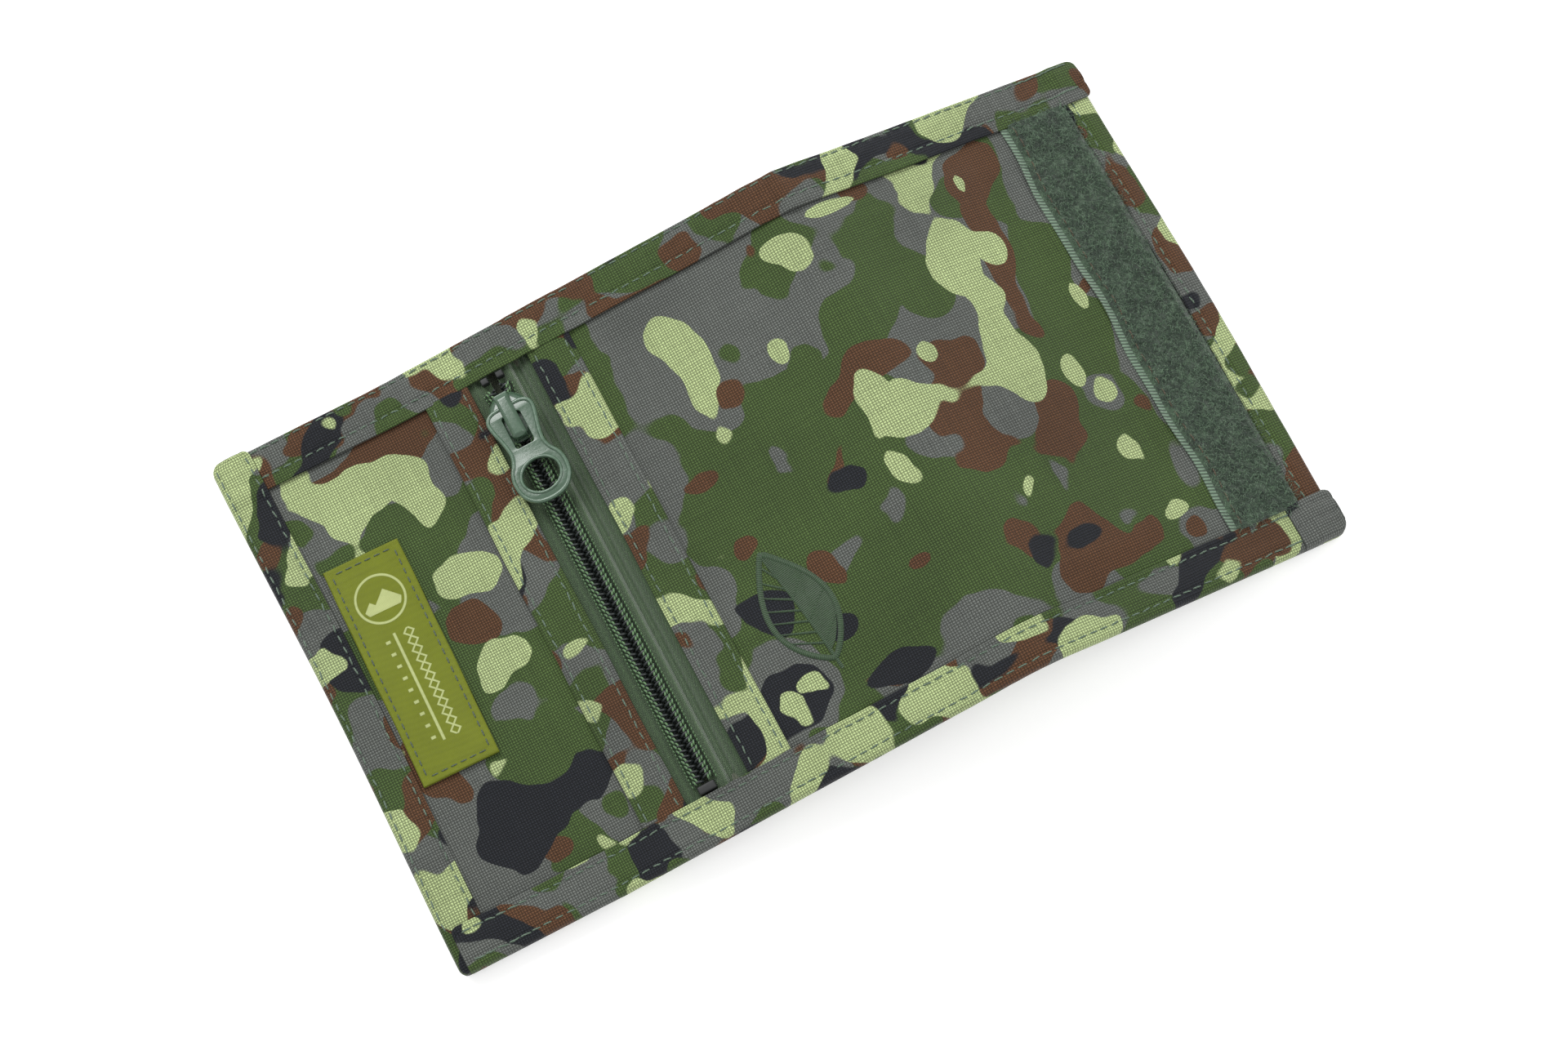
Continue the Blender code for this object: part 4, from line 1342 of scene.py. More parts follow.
def label_finish():
    """Satin-woven olive label with a pale motif: hills in a ring, a bar, ticks and diamonds."""
    nodes = Nodes("woven_label")
    uv = nodes.uv()
    x, y, _ = nodes.split(uv)
    x = nodes.times(x, 1000.0)
    y = nodes.times(y, 1000.0)

    def inside(value, edge, soft=0.10):
        return nodes.remap(value, edge + soft, edge - soft)

    def both(a, b):
        return nodes.times(a, b)

    def either(a, b):
        return nodes.math("MAXIMUM", a, b)

    def distance(centre_x, centre_y):
        dx = nodes.size(nodes.minus(x, centre_x))
        dy = nodes.size(nodes.minus(y, centre_y))
        squares = nodes.plus(nodes.math("POWER", dx, 2.0), nodes.math("POWER", dy, 2.0))
        return nodes.math("SQRT", squares)

    radial = distance(0.0, 16.0)
    ring = inside(nodes.size(nodes.minus(radial, 5.6)), 0.28)
    high_hill = nodes.minus(3.0, nodes.size(nodes.minus(x, 1.3)))
    low_hill = nodes.minus(1.2, nodes.size(nodes.plus(x, 2.6)))
    skyline = nodes.math("MAXIMUM", high_hill, low_hill)
    above = nodes.minus(nodes.minus(y, 15.0), skyline)
    ground = nodes.math("GREATER_THAN", y, 13.2)
    hills = both(both(inside(above, 0.0), ground), inside(radial, 4.7))
    span = inside(nodes.size(nodes.plus(y, 6.0)), 13.5)
    bar = both(inside(nodes.size(nodes.plus(x, 0.6)), 0.32), span)
    cell = nodes.minus(nodes.math("PINGPONG", nodes.plus(y, 6.0), 2.25), 1.1)
    rhomb = nodes.plus(nodes.size(nodes.minus(x, 2.6)), nodes.size(cell))
    band = nodes.size(nodes.minus(rhomb, 1.15))
    diamonds = both(inside(band, 0.3), span)
    tick = inside(nodes.math("PINGPONG", y, 1.5), 0.35)
    ticks = both(both(tick, inside(nodes.size(nodes.plus(x, 2.6)), 0.55)), span)
    motif = either(either(ring, hills), either(bar, either(diamonds, ticks)))
    twill = nodes.sine(nodes.plus(nodes.times(x, 15.0), nodes.times(y, 26.0)))
    yarns = nodes.sine(nodes.times(x, 24.0))
    grain = nodes.scaled(twill, 0.5, nodes.scaled(yarns, 0.25, 0.5))
    cloud = nodes.noise(uv, 120.0, 3.0)
    # Painted light and shade: lighter along the twill ridges and darker between them, in both the
    # plain and the pale yarns.
    base = nodes.mix(grain, linear((0.31, 0.34, 0.03)), linear((0.47, 0.51, 0.08)))
    pale = nodes.mix(grain, linear((0.56, 0.60, 0.36)), linear((0.74, 0.77, 0.54)))
    colour = nodes.mix(motif, base, pale)
    colour = nodes.tint(colour, nodes.scaled(cloud, 0.3, 0.82))
    height = nodes.scaled(grain, 0.3, nodes.times(motif, 0.7))
    return nodes.finish(
        colour, 0.5, nodes.bump(height, 0.00016), Sheen_Weight=0.12, Sheen_Roughness=0.35,
        Anisotropic=0.4, Specular_IOR_Level=0.3,
    )


def label_top(x, y):
    """Height over the label: folded hems at both ends, drawn down by the stitches all round."""
    half_x, half_y = LABEL_SIZE[0] / 2, LABEL_SIZE[1] / 2
    inset = np.minimum(half_x - np.abs(x), half_y - np.abs(y)) - LABEL_STITCHES
    height = LABEL_TOP - 0.20 * bump(inset, 0.0, 0.45)
    height = height + 0.12 * smooth(inset / 5.0) + 0.05 * waves(x * 2.0, y, 15, (5.0, 18.0))
    hem = 0.18 * smooth((np.abs(y) - half_y + 4.5) / 0.6)
    pucker = 0.06 * np.sin(2 * math.pi * (x + y) / 2.3) * bump(inset, -0.8, 0.6)
    return height + hem + pucker


def make_label():
    """The satin label with turned edges, and the stitches round it."""
    half_x, half_y = LABEL_SIZE[0] / 2, LABEL_SIZE[1] / 2
    edge = np.array([0.0, 0.12, 0.3, 0.6])

    def stations(half, size):
        inner = steps(1.0 - half, half - 1.0, size)
        return np.concatenate([-half + edge, inner, half - edge[::-1]])

    x, y = np.meshgrid(stations(half_x, 0.55), stations(half_y, 0.7), indexing="ij")
    near = np.minimum(half_x - np.abs(x), half_y - np.abs(y))
    drop = 0.45 * (1.0 - np.sqrt(1.0 - (1.0 - np.clip(near / 0.5, 0.0, 1.0)) ** 2.0))
    wobble = 0.12 * waves(y, x, 27, (12.0, 40.0)) * smooth((np.abs(x) - half_x + 3.0) / 3.0)
    u, v = label_place(x + wobble, y)
    upper = label_top(x, y) - drop
    above = surface(u, v, upper)
    below = surface(u, v, np.full(x.shape, CLOTH + 0.12))
    piece = two_sided("woven_label_satin", above, below, np.stack([x, y], -1))
    settle(piece, label_finish(), "closure_flap", ("woven_label",))
    sx, sy = half_x - LABEL_STITCHES, half_y - LABEL_STITCHES
    corners = [(-sx, -sy), (sx, -sy), (sx, sy), (-sx, sy), (-sx, -sy)]
    lines = []
    for index, (start, end) in enumerate(zip(corners, corners[1:])):
        x, y, lift = even_stitches(start, end, 101 + index, 2.3)
        u, v = label_place(x, y)
        lines.append(surface(u, v, label_top(x, y) + lift))
    thread_piece("stitching_label", lines, "closure_flap", 0.16, LABEL_THREAD)


# ---------------------------------------------------------------- embroidered leaf

LEAF_CENTRE = (FOLD_1 + 61.2, -26.5)
LEAF_HALF = (7.4, 14.4)
LEAF_START = 8
LEAF_RIBS = 7


def leaf_edge(t):
    """Half width of the leaf at t, from its stalk (0) to its point (1)."""
    return LEAF_HALF[0] * np.sin(math.pi * np.clip(t, 0.0, 1.0) ** 0.85) ** 0.9


def leaf_place(x, y):
    """From the leaf's own axes to the wallet's u and y."""
    turn = math.radians(8.0)
    c, s = math.cos(turn), math.sin(turn)
    return LEAF_CENTRE[0] + x * c - y * s, LEAF_CENTRE[1] + x * s + y * c


def embroidery_finish(name, colour):
    """Satin stitch: close glossy threads across the line."""
    nodes = Nodes(name)
    uv = nodes.uv()
    x, _, _ = nodes.split(uv)
    wobble = nodes.noise(uv, 700.0, 1.0)
    rate = 2.0 * math.pi / 0.00042
    strand = nodes.sine(nodes.scaled(x, rate, nodes.times(wobble, 2.5)))
    height = nodes.scaled(strand, 0.5, 0.5)
    patch = nodes.noise(uv, 400.0, 2.0)
    # Painted shade: each strand lighter on top and darker between the strands; patch is random
    # tone.
    light = nodes.scaled(height, 0.75, nodes.scaled(patch, 0.5, 0.25))
    tone = nodes.tint(linear(colour), light)
    return nodes.finish(tone, 0.42, nodes.bump(height, 0.0002), Sheen_Weight=0.3, Anisotropic=0.5)


def satin(name, x, y, width, height, nodes=()):
    """A raised band of satin stitch along a line of x, y points."""
    path = np.stack([x, y], -1)
    tangent = unit(np.gradient(path, axis=0))
    normal = np.stack([-tangent[:, 1], tangent[:, 0]], -1)
    angle = np.radians(np.concatenate([np.linspace(0.0, 180.0, 9), [180.0, 0.0]]))
    across = np.cos(angle) / 2
    up = np.sin(angle) * height
    up[-2:] = -0.12
    width = np.broadcast_to(width, x.shape)
    px = path[:, None, 0] + normal[:, None, 0] * across * width[:, None]
    py = path[:, None, 1] + normal[:, None, 1] * across * width[:, None]
    arc = arc_length(path, 0)
    uvs = np.stack([np.broadcast_to(arc[:, None], px.shape), across * width[:, None]], -1)
    u, v = leaf_place(px, py)
    piece = loft(name, surface(u, v, cloth_top(u, v) + up), uvs, smooth_angle=70.0)
    settle(piece, EMBROIDERY, "back_panel", nodes)


def make_leaf():
    """A stitched outline, vein and ribs, with one half of the leaf filled."""
    def leaf_y(t):
        return LEAF_HALF[1] * (2 * t - 1.0)

    t = np.linspace(0.0, 1.0, 90)
    edge = leaf_edge(t)
    side = np.concatenate([edge, -edge[-2:0:-1]])
    around = np.concatenate([leaf_y(t), leaf_y(t)[-2:0:-1]])
    order = np.r_[LEAF_START:len(side), 0:LEAF_START + 1]
    outline_nodes = ("embroidered_badge",)
    satin("embroidered_leaf_outline", side[order], around[order], 1.35, 0.42, outline_nodes)
    t = np.linspace(-0.10, 0.97, 60)
    vein_width = 0.8 - 0.3 * np.clip(t, 0, 1)
    satin("embroidered_leaf_vein", 0.25 * np.sin(t * 4.0), leaf_y(t), vein_width, 0.36)
    reach = np.linspace(0.0, 1.0, 14)
    for index in range(LEAF_RIBS):
        foot = 0.14 + 0.105 * index
        width = leaf_edge(np.array([foot + 0.14]))[0] - 0.5
        for word, sign in (("left", -1.0), ("right", 1.0)):
            if sign > 0 and index % 2:
                continue
            name = f"embroidered_leaf_rib_{word}_{index + 1}"
            x, y = sign * reach * width, leaf_y(foot + 0.14 * reach)
            satin(name, x, y, 0.6 - 0.2 * reach, 0.3)
    t, share = np.meshgrid(np.linspace(0.06, 0.95, 70), reach, indexing="ij")
    x = share * (leaf_edge(t) - 0.1)
    y = leaf_y(np.clip(t + 0.05 * share, 0.0, 1.0))
    u, v = leaf_place(x, y)
    base = cloth_top(u, v)
    lift = 0.24 * np.sin(math.pi * np.clip(share * 0.9 + 0.05, 0, 1)) ** 0.5
    above, below = surface(u, v, base + lift), surface(u, v, base - 0.12)
    fill = two_sided("embroidered_leaf_fill", above, below, np.stack([y, x], -1))
    settle(fill, EMBROIDERY_DARK, "back_panel")


# ---------------------------------------------------------------- hook and loop

LOOP_SPAN = (FOLD_2 + 54.5, FOLD_2 + 73.2)
SELVEDGE = 1.9
LOOP_END = EDGE - BINDING_TOP + 0.5


def selvedge_wave(y):
    """How far the tape's inner edge wanders."""
    return 0.45 * np.sin(2 * math.pi * y / 47.0 + 0.6) + 0.2 * np.sin(2 * math.pi * y / 21.0)


def pile_finish():
    """Matted loops: fluff in clumps, with painted shade between the clumps and painted light on
    their tops.
    """
    nodes = Nodes("loop_pile")
    uv = nodes.uv()
    fluff = nodes.noise(uv, 1500.0, 4.0, 0.75, 1.5)
    clump = nodes.noise(uv, 260.0, 3.0, 0.6)
    mixed = nodes.scaled(clump, 0.45, nodes.times(fluff, 0.55))
    level = nodes.remap(mixed, 0.36, 0.66)
    # Painted light and shade: dark low in the pile, pale on the clumps' tops.
    tone = nodes.mix(level, linear((0.08, 0.13, 0.09)), linear((0.28, 0.38, 0.28)))
    normal = nodes.bump(mixed, 0.0006)
    return nodes.finish(tone, 0.85, normal, Sheen_Weight=0.35, Sheen_Roughness=0.5)


def selvedge_finish():
    """The tape's firm woven edge, with slanting ribs."""
    nodes = Nodes("tape_selvedge")
    uv = nodes.uv()
    x, y, _ = nodes.split(uv)
    slant = nodes.plus(y, nodes.times(x, 0.35))
    rib = nodes.sine(nodes.times(slant, 2 * math.pi / 0.00085))
    height = nodes.scaled(rib, 0.5, 0.5)
    noise = nodes.noise(uv, 1400.0, 2.0)
    # Painted shade: darker in the grooves between the ribs and lighter on them; noise is random
    # tone.
    tone = nodes.mix(height, linear((0.20, 0.27, 0.21)), linear((0.44, 0.54, 0.45)))
    tone = nodes.tint(tone, nodes.scaled(noise, 0.6, 0.7))
    return nodes.finish(tone, 0.55, nodes.bump(height, 0.00025), Sheen_Weight=0.3)


def curly_fibres(name, count, seed, spot, height, length, radius, material):
    """Short curled fibres standing in a pile. spot(rng, count) gives each fibre's u and y."""
    rng = np.random.RandomState(seed)
    u, y = spot(rng, count)
    heading = rng.uniform(0.0, 2 * math.pi, count)
    curl = rng.uniform(-2.6, 2.6, count)
    size = length * rng.uniform(0.5, 1.2, count)
    tall = height * rng.uniform(0.35, 1.0, count)
    s = np.linspace(0.0, 1.0, 6)
    turn = heading[:, None] + curl[:, None] * s
    step_u = np.cos(turn) * size[:, None] / 5
    step_y = np.sin(turn) * size[:, None] / 5
    fibre_u = u[:, None] + np.cumsum(step_u, 1)
    fibre_y = y[:, None] + np.cumsum(step_y, 1)
    base = pile_top(u, y)
    arch = np.sin(math.pi * (0.08 + 0.84 * s))
    n = base[:, None] - 0.15 + tall[:, None] * arch
    lines = surface(fibre_u, fibre_y, n)
    piece = tubes(name, lines, radius, 4, (0.3, 0.2, 1.0))
    settle(piece, material, "front_panel")


def pile_top(u, y):
    """Height of the loop pile."""
    low, high = LOOP_SPAN[0] + SELVEDGE, LOOP_SPAN[1]
    rise = smooth((u - low - selvedge_wave(y) + 0.2) / 0.9) * smooth((high - u) / 1.6)
    return CLOTH + 0.55 + 0.75 * rise + 0.12 * waves(u, y, 113, (3.0, 12.0))


def make_loop_tape():
    """The pile with its loose fibres, and the woven edge that is sewn down."""
    ys = steps(-LOOP_END, LOOP_END, 0.8)

    def warp(u, y):
        share = smooth((LOOP_SPAN[1] - u) / 14.0)
        return u + selvedge_wave(y) * share, y

    pile = cloth_sheet(
        "loop_tape_pile", steps(LOOP_SPAN[0] + SELVEDGE - 0.4, LOOP_SPAN[1], 0.5), ys,
        lambda u, y: pile_top(u, y) - 0.1, 0.5, warp=warp,
    )
    settle(pile, pile_finish(), "front_panel", ("loop_tape",))

    def selvedge_top(u, y):
        edge = np.abs(u - LOOP_SPAN[0] - SELVEDGE / 2 - selvedge_wave(y)) / (SELVEDGE / 2)
        curl = 0.28 * smooth((LOOP_SPAN[0] + 1.0 + selvedge_wave(y) - u) / 1.4)
        return CLOTH + 0.5 + curl * (1.0 + 0.8 * np.sin(2 * math.pi * y / 33.0)) - 0.12 * edge**4

    selvedge = cloth_sheet(
        "loop_tape_selvedge", steps(LOOP_SPAN[0], LOOP_SPAN[0] + SELVEDGE, 0.3), ys,
        selvedge_top, 0.35, warp=warp,
    )
    settle(selvedge, selvedge_finish(), "front_panel")

    def spot(rng, count):
        y = rng.uniform(-LOOP_END, LOOP_END, count)
        low = LOOP_SPAN[0] + SELVEDGE + 0.2 + selvedge_wave(y)
        return low + (LOOP_SPAN[1] - 0.5 - low) * rng.uniform(0.0, 1.0, count), y

    # Shaded and lit copies of one fibre: the darker set stands lower in the pile, the paler set
    # higher, as painted shade and light.
    curly_fibres("loop_tape_fibres_shaded", 5200, 5, spot, 0.7, 1.7, 0.045, FIBRE_SHADED)
    curly_fibres("loop_tape_fibres_lit", 3600, 6, spot, 0.85, 1.5, 0.04, FIBRE_LIT)
    s, aside, lift = stitch_marks(2 * LOOP_END, 119, 3.1)
    y = LOOP_END - s
    u = LOOP_SPAN[0] + SELVEDGE + 0.9 + selvedge_wave(y)
    y = y + aside
    thread = tubes("stitching_loop_tape", surface(u, y, pile_top(u, y) + lift), 0.14)
    settle(thread, BROWN_THREAD, "front_panel")


def make_hook_tape():
    """The closure's hook tape, under the flap: a woven base and its rows of moulded hooks."""
    low, high = 1.8, 17.0
    base_top = -1.9
    half = 55.5
    base_us, base_ys = steps(low, high, 0.8), steps(-half, half, 1.6)
    base = cloth_sheet("hook_tape_base", base_us, base_ys, base_top, 0.5)
    settle(base, selvedge_finish(), "closure_flap", ("hook_tape",))
    rng = np.random.RandomState(9)
    across, along = np.arange(low + 0.9, high - 0.6, 1.5), np.arange(1.0 - half, half - 0.8, 1.6)
    us, ys = np.meshgrid(across, along, indexing="ij")
    us = (us + rng.uniform(-0.12, 0.12, us.shape)).ravel()
    ys = (ys + rng.uniform(-0.12, 0.12, ys.shape)).ravel()
    side = rng.choice((-1.0, 1.0), us.size)
    shape = np.array([
        (0.0, 0.1), (0.0, -0.45), (0.04, -0.85), (0.22, -1.12), (0.48, -1.10), (0.62, -0.85),
    ])
    u = us[:, None] + side[:, None] * shape[:, 0]
    y = np.broadcast_to(ys[:, None], u.shape)
    n = base_top - 0.45 + np.broadcast_to(shape[:, 1], u.shape)
    hooks = tubes("hook_tape_hooks", surface(u, y, n), 0.11, 5, (0.0, 1.0, 0.0))
    settle(hooks, HOOK_PLASTIC, "closure_flap")


LABEL_THREAD = thread_material("label_thread", (0.24, 0.30, 0.24), 0.5)
EMBROIDERY = embroidery_finish("embroidery", (0.15, 0.27, 0.13))
EMBROIDERY_DARK = embroidery_finish("embroidery_fill", (0.145, 0.255, 0.12))
# The pile's fibres in a painted-shade copy and a painted-light copy of one colour.
FIBRE_SHADED = thread_material("pile_fibre_shaded", (0.15, 0.225, 0.165), 0.7)
FIBRE_LIT = thread_material("pile_fibre_lit", (0.36, 0.46, 0.36), 0.6)
BROWN_THREAD = thread_material("brown_thread", (0.30, 0.24, 0.16), 0.6)
HOOK_PLASTIC = plastic_finish("hook_plastic", (0.20, 0.27, 0.22), 0.4)

make_label()
make_leaf()
make_loop_tape()
make_hook_tape()

# ---------------------------------------------------------------- linings and pockets inside

TUCK = EDGE - BINDING_TOP + 2.6
TUCKED = -1.0
TROUGH_WIDTH = 7.0
PARKED_SLIDER = (46.5, 57.5)


def lining_finish(name, light, dark):
    """Fine matt nylon with a ripstop grid."""
    nodes = Nodes(name)
    uv = nodes.uv()
    x, y, _ = nodes.split(uv)
    height, _ = weave(nodes, uv, 0.34)
    line_x = nodes.math("PINGPONG", x, 0.0026)
    line_y = nodes.math("PINGPONG", y, 0.0026)
    nearest = nodes.math("MINIMUM", line_x, line_y)
    rip = nodes.remap(nearest, 0.00034, 0.00020)
    cloud = nodes.noise(uv, 70.0, 4.0)
    # Painted shade: the weave's gaps darker than its yarns; cloud is random tone.
    level = nodes.scaled(height, 0.6, nodes.times(cloud, 0.4))
    tone = nodes.mix(level, linear(dark), linear(light))
    tone = nodes.mix(nodes.times(rip, 0.5), tone, linear(light))
    relief = nodes.plus(nodes.times(height, 0.5), rip)
    return nodes.finish(tone, 0.6, nodes.bump(relief, 0.00010), Sheen_Weight=0.2)


def film_finish():
    """Clear soft vinyl, slightly wavy and scuffed."""
    nodes = Nodes("clear_film")
    position = nodes.position()
    scuff = nodes.remap(nodes.noise(position, 900.0, 4.0, 0.8), 0.55, 0.75, 0.06, 0.28)
    ripple = nodes.noise(position, 60.0, 2.0)
    return nodes.finish(
        (0.92, 0.94, 0.93, 1.0), scuff, nodes.bump(ripple, 0.0004), Transmission_Weight=0.85,
        IOR=1.2, Alpha=0.45,
    )


def tucked(level, top_free=False, left=None, right=None):
    """A height that runs level and rises between the leaves of the edge bindings."""
    def height(u, y):
        edge = y * -1.0 if top_free else np.abs(y)
        rise = smooth((edge - TUCK + 8.0) / 6.0)
        if left is not None:
            rise = np.maximum(rise, smooth((left + 6.0 - u) / 6.0))
        if right is not None:
            rise = np.maximum(rise, smooth((u - right + 5.0) / 5.0))
        flat = level(u, y) if callable(level) else level
        return flat + (TUCKED - flat) * rise + 0.10 * waves(u, y, 131, (18.0, 60.0)) * (1.0 - rise)
    return height


def inner_sheet(name, us, ys, height, thickness, where, nodes, printed=False):
    """A sewn-in sheet of lining, or of the printed cloth."""
    piece = cloth_sheet(name, us, ys, height, thickness, uv_shift=(0.0, 300.0))
    print_tones(piece, STRIP_TONES)
    finish, slot = (CAMOUFLAGE, "camouflage_cloth") if printed else (LINING, "lining_cloth")
    settle(piece, finish, where, nodes)


def bill_level(u, y):
    """The bill compartment's wall steps closer to the cloth past the second fold."""
    return -3.7 + 2.45 * smooth((u - FOLD_2 + 1.0) / 10.0)


def bag_level(u, y):
    """The coin pocket's lining, with a shallow trough where the slider passes over it."""
    return -2.25 - 0.14 * bump(u, ZIP, TROUGH_WIDTH)


def slider_room(height):
    """The same height, pressed in where the slider stands when the zip is closed."""
    def pressed(u, y):
        low, high = PARKED_SLIDER
        near = bump(u, ZIP, TROUGH_WIDTH) * smooth((y - low) / 3.0) * smooth((high - y) / 3.0)
        return height(u, y) - 0.9 * near
    return pressed


def panel_lining_height(u, y):
    """The lining lies just under the outer cloth."""
    return -0.35 + fold_creases(u, y)


def make_linings():
    half = EDGE - SEAM_ALLOWANCE
    ys = steps(-half, half, 1.5)
    inner_sheet(
        "flap_lining_cloth", steps(SEAM_ALLOWANCE, FOLD_1 + 10.0, 1.2), ys, panel_lining_height,
        0.3, FLAP_BLEND, ("flap_lining",),
    )
    inner_sheet(
        "front_lining_cloth", steps(FOLD_2 - 3.4, LENGTH - SEAM_ALLOWANCE, 1.2), ys,
        panel_lining_height, 0.3, FRONT_BLEND, ("front_lining",),
    )
    ys = steps(-TUCK, TUCK, 1.5)
    low, high = FOLD_1 + 4.0, FOLD_1 + 97.0
    inner_sheet(
        "coin_pocket_lining", steps(low, high, 1.5), ys,
        slider_room(tucked(bag_level, left=low, right=high)),
        0.3, "back_panel", ("coin_pocket_bag",),
    )
    low, high = FOLD_1 + 2.4, FOLD_1 + 98.6
    inner_sheet(
        "back_lining_cloth", steps(low, high, 1.5), ys, slider_room(tucked(-2.95, left=low)),
        0.3, "back_panel", ("back_lining",),
    )


def mouth_strip(name, us, y, height, where, seed):
    """A narrow folded tape that binds an open edge, from its front round to its back."""
    turn = np.radians(np.linspace(-90.0, 90.0, 7))
    outline = [(-3.0, -0.36), (-2.9, -0.44)]
    outline += [(0.28 * math.cos(a), 0.32 * math.sin(a) - 0.12) for a in turn]
    outline = np.array(outline + [(-2.9, 0.22), (-3.0, 0.14)])
    u, across = np.meshgrid(us, outline[:, 0], indexing="ij")
    wave = 0.08 * waves(u, u * 0.0, seed, (8.0, 30.0))
    n = height(u, y + across) + outline[:, 1] - 0.02 + wave
    uvs = np.stack([u, np.broadcast_to(arc_length(outline, 0), u.shape)], -1)
    piece = loft(name, surface(u, y + across, n), uvs, smooth_angle=60.0)
    settle(piece, TRIM_FINISH, where)


def under_stitches(name, rows, height, where, seed):
    """Stitches on an inner side, where they stand towards the inside of the wallet."""
    lines = []
    for index, (start, end) in enumerate(rows):
        u, y, lift = even_stitches(start, end, seed + index, STITCH_PITCH)
        lines.append(surface(u, y, height(u, y) - 0.30 - 0.6 * lift))
    thread_piece(name, lines, where, 0.12)


BILL_WALL = (FOLD_1 + 2.6, LENGTH - 3.6)
bill_wall_height = tucked(bill_level, True, *BILL_WALL)


def make_bill_wall():
    """The inner wall of the bill compartment, hemmed at its open top."""
    us = steps(*BILL_WALL, 1.5)
    top = EDGE - BINDING_TOP - 1.2
    inner_sheet(
        "bill_wall", us, steps(-TUCK, top, 1.5), bill_wall_height, 0.35, FRONT_BLEND,
        ("back_bill_wall", "front_bill_wall"), True,
    )
    mouth_strip("bill_wall_hem", us, top + 0.3, bill_wall_height, FRONT_BLEND, 141)
    row = ((us[0] + 2.0, top - 2.0), (us[-1] - 2.0, top - 2.0))
    under_stitches("stitching_bill_wall", [row], bill_wall_height, FRONT_BLEND, 143)


def make_card_pockets():
    """Three stepped pockets, each lying on the one before."""
    left, right = FOLD_1 + 9.5, FOLD_1 + 97.5
    us = steps(left, right, 1.3)
    for index, mouth in enumerate((6.0, -8.0, -22.0)):
        def height(u, y, index=index):
            flat = -4.35 - 0.7 * index
            edge = -4.18 - 0.36 * index
            side = smooth((u - left) / 7.0) * smooth((right - u) / 7.0)
            low = smooth((y + TUCK + 1.0) / 9.0)
            slump = 0.10 * waves(u, y, 151 + index, (24.0, 70.0))
            body = edge + (flat - edge + slump) * side
            foot = bill_wall_height(u, y) - 0.42 - 0.34 * index
            return body * low + foot * (1.0 - low)

        word = f"card_pocket_{index + 1}"
        ys = steps(-TUCK + 1.5, mouth, 1.3)
        cloth = f"{word}_cloth"
        inner_sheet(cloth, us, ys, height, 0.32, "back_panel", (word,), True)
        mouth_strip(f"{word}_mouth", us, mouth + 0.2, height, "back_panel", 161 + index)
        rows = [((u, mouth - 4.0), (u, -52.0)) for u in (left + 1.4, right - 1.4)]
        rows.append(((left + 2.5, mouth - 2.2), (right - 2.5, mouth - 2.2)))
        under_stitches(f"stitching_{word}", rows, height, "back_panel", 171 + 3 * index)


def make_id_window():
    """A clear film over the front panel's inner side, held by a stitched tape frame."""
    low, high = np.array((FOLD_2 + 8.0, -50.0)), np.array((FOLD_2 + 70.0, 46.0))

    def level(u, y):
        return -1.95 + 0.12 * waves(u, y, 191, (20.0, 60.0))

    us, ys = (steps(a + 1.0, b - 1.0, 1.5) for a, b in zip(low, high))
    film = cloth_sheet("id_window_clear_film", us, ys, level, 0.2)
    settle(film, film_finish(), "front_panel", ("id_window_film",))
    loop = rounded_rectangle(low, high, 1.5, 5)
    dense = []
    for start, end in zip(loop, np.roll(loop, -1, 0)):
        count = max(1, int(math.dist(start, end) / 1.5))
        dense += [start + (end - start) * k / count for k in range(count)]
    dense = np.array(dense + dense[:1])
    outline = np.array([
        (0.0, -0.2), (0.15, -0.42), (0.8, -0.5), (2.0, -0.52), (4.0, -0.52), (5.4, -0.5),
        (5.85, -0.4), (6.0, -0.2), (5.8, 0.02), (3.0, 0.05), (0.2, 0.02),
    ])
    centre, half = (low + high) / 2, (high - low) / 2
    inset = (half - outline[:, :1]) / half
    u, y = np.moveaxis(centre + (dense[:, None] - centre) * inset, -1, 0)
    n = -2.25 + 0.08 * waves(u, y, 193, (10.0, 30.0)) + outline[:, 1]
    arc = arc_length(dense, 0)
    arc[-1] = arc[-2] + 1.0
    uvs = np.stack(np.broadcast_arrays(arc[:, None], outline[:, 0]), -1)
    trim = loft("id_window_frame", surface(u, y, n), uvs, caps=False, smooth_angle=60.0)
    work = bmesh.new()
    work.from_mesh(trim.data)
    bmesh.ops.remove_doubles(work, verts=work.verts[:], dist=0.000005)
    work.to_mesh(trim.data)
    work.free()
    settle(trim, TRIM_FINISH, "front_panel", ("id_window_trim",))
    (low_u, low_y), (high_u, high_y) = low + 4.6, high - 4.6
    corners = [(low_u, high_y), (low_u, low_y), (high_u, low_y), (high_u, high_y)]
    rows = list(zip(corners, corners[1:] + corners[:1]))

    def trim_level(u, y):
        return np.full(u.shape, -2.42)

    under_stitches("stitching_id_window", rows, trim_level, "front_panel", 195)


LINING = lining_finish("lining_cloth", (0.30, 0.33, 0.25), (0.14, 0.16, 0.12))
TRIM_FINISH = lining_finish("trim_tape", (0.34, 0.38, 0.30), (0.16, 0.19, 0.14))

make_linings()
make_bill_wall()
make_card_pockets()
make_id_window()

# ---------------------------------------------------------------- camera, floor and light


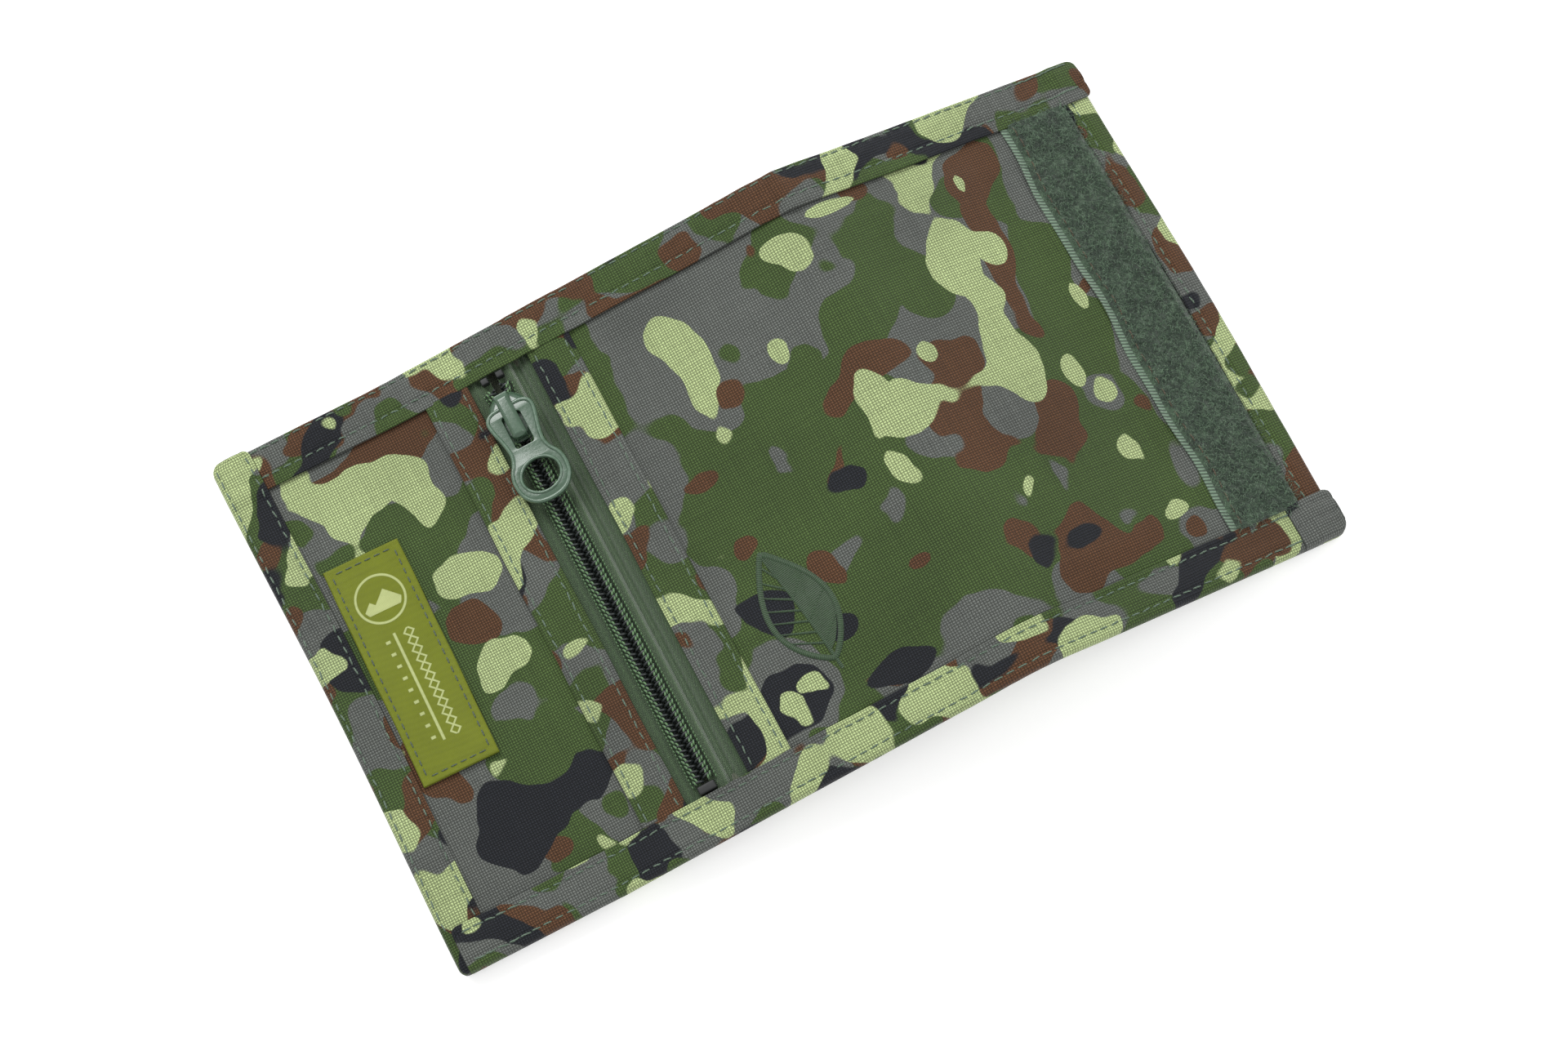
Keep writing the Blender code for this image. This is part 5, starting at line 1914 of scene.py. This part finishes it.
def aim(location, target):
    """The rotation that points at the target."""
    return (Vector(target) - Vector(location)).to_track_quat("-Z", "Y").to_euler()


def make_camera():
    azimuth, elevation, distance = math.radians(-27.4), math.radians(72.4), 0.822
    target = Vector((-2.5, -7.1, 10.0)) * MM
    back = Vector((
        math.sin(azimuth) * math.cos(elevation),
        -math.cos(azimuth) * math.cos(elevation),
        math.sin(elevation),
    ))
    data = bpy.data.cameras.new("camera")
    data.lens = 85.0
    data.sensor_width = 36.0
    data.clip_start = 0.01
    camera = bpy.data.objects.new("camera", data)
    camera.location = target + back * distance
    camera.rotation_euler = aim(camera.location, target)
    bpy.context.scene.collection.objects.link(camera)
    bpy.context.scene.camera = camera


def make_floor():
    bpy.ops.mesh.primitive_plane_add(size=6.0, location=(0.0, 0.0, -0.0002))
    floor = bpy.context.object
    floor.name = "floor"
    nodes = Nodes("floor_paper")
    position = nodes.position()
    grain = nodes.noise(position, 40.0, 3.0)
    tone = nodes.mix(grain, (0.80, 0.80, 0.80, 1.0), (0.83, 0.83, 0.83, 1.0))
    glow = {"Emission_Color": (1.0, 1.0, 1.0, 1.0), "Emission_Strength": 0.35}
    floor.data.materials.append(nodes.finish(tone, 0.9, **glow))


def area_light(name, location, size, power, colour=(1.0, 1.0, 1.0)):
    data = bpy.data.lights.new(name, "AREA")
    data.shape = "RECTANGLE"
    data.size, data.size_y = size
    data.energy = power
    data.color = colour
    light = bpy.data.objects.new(name, data)
    light.location = location
    light.rotation_euler = aim(location, (0.0, 0.0, 0.0))
    bpy.context.scene.collection.objects.link(light)


def make_light():
    world = bpy.data.worlds.new("studio")
    world.use_nodes = True
    world.node_tree.nodes["Background"].inputs[0].default_value = (1.0, 1.0, 1.0, 1.0)
    world.node_tree.nodes["Background"].inputs[1].default_value = 0.68
    bpy.context.scene.world = world
    area_light("key", (-0.25, 0.75, 0.85), (0.7, 0.6), 12.0)
    area_light("fill", (0.7, -0.4, 0.9), (0.9, 0.9), 6.0)


make_camera()
make_floor()
make_light()
bpy.context.scene.view_settings.view_transform = "Standard"
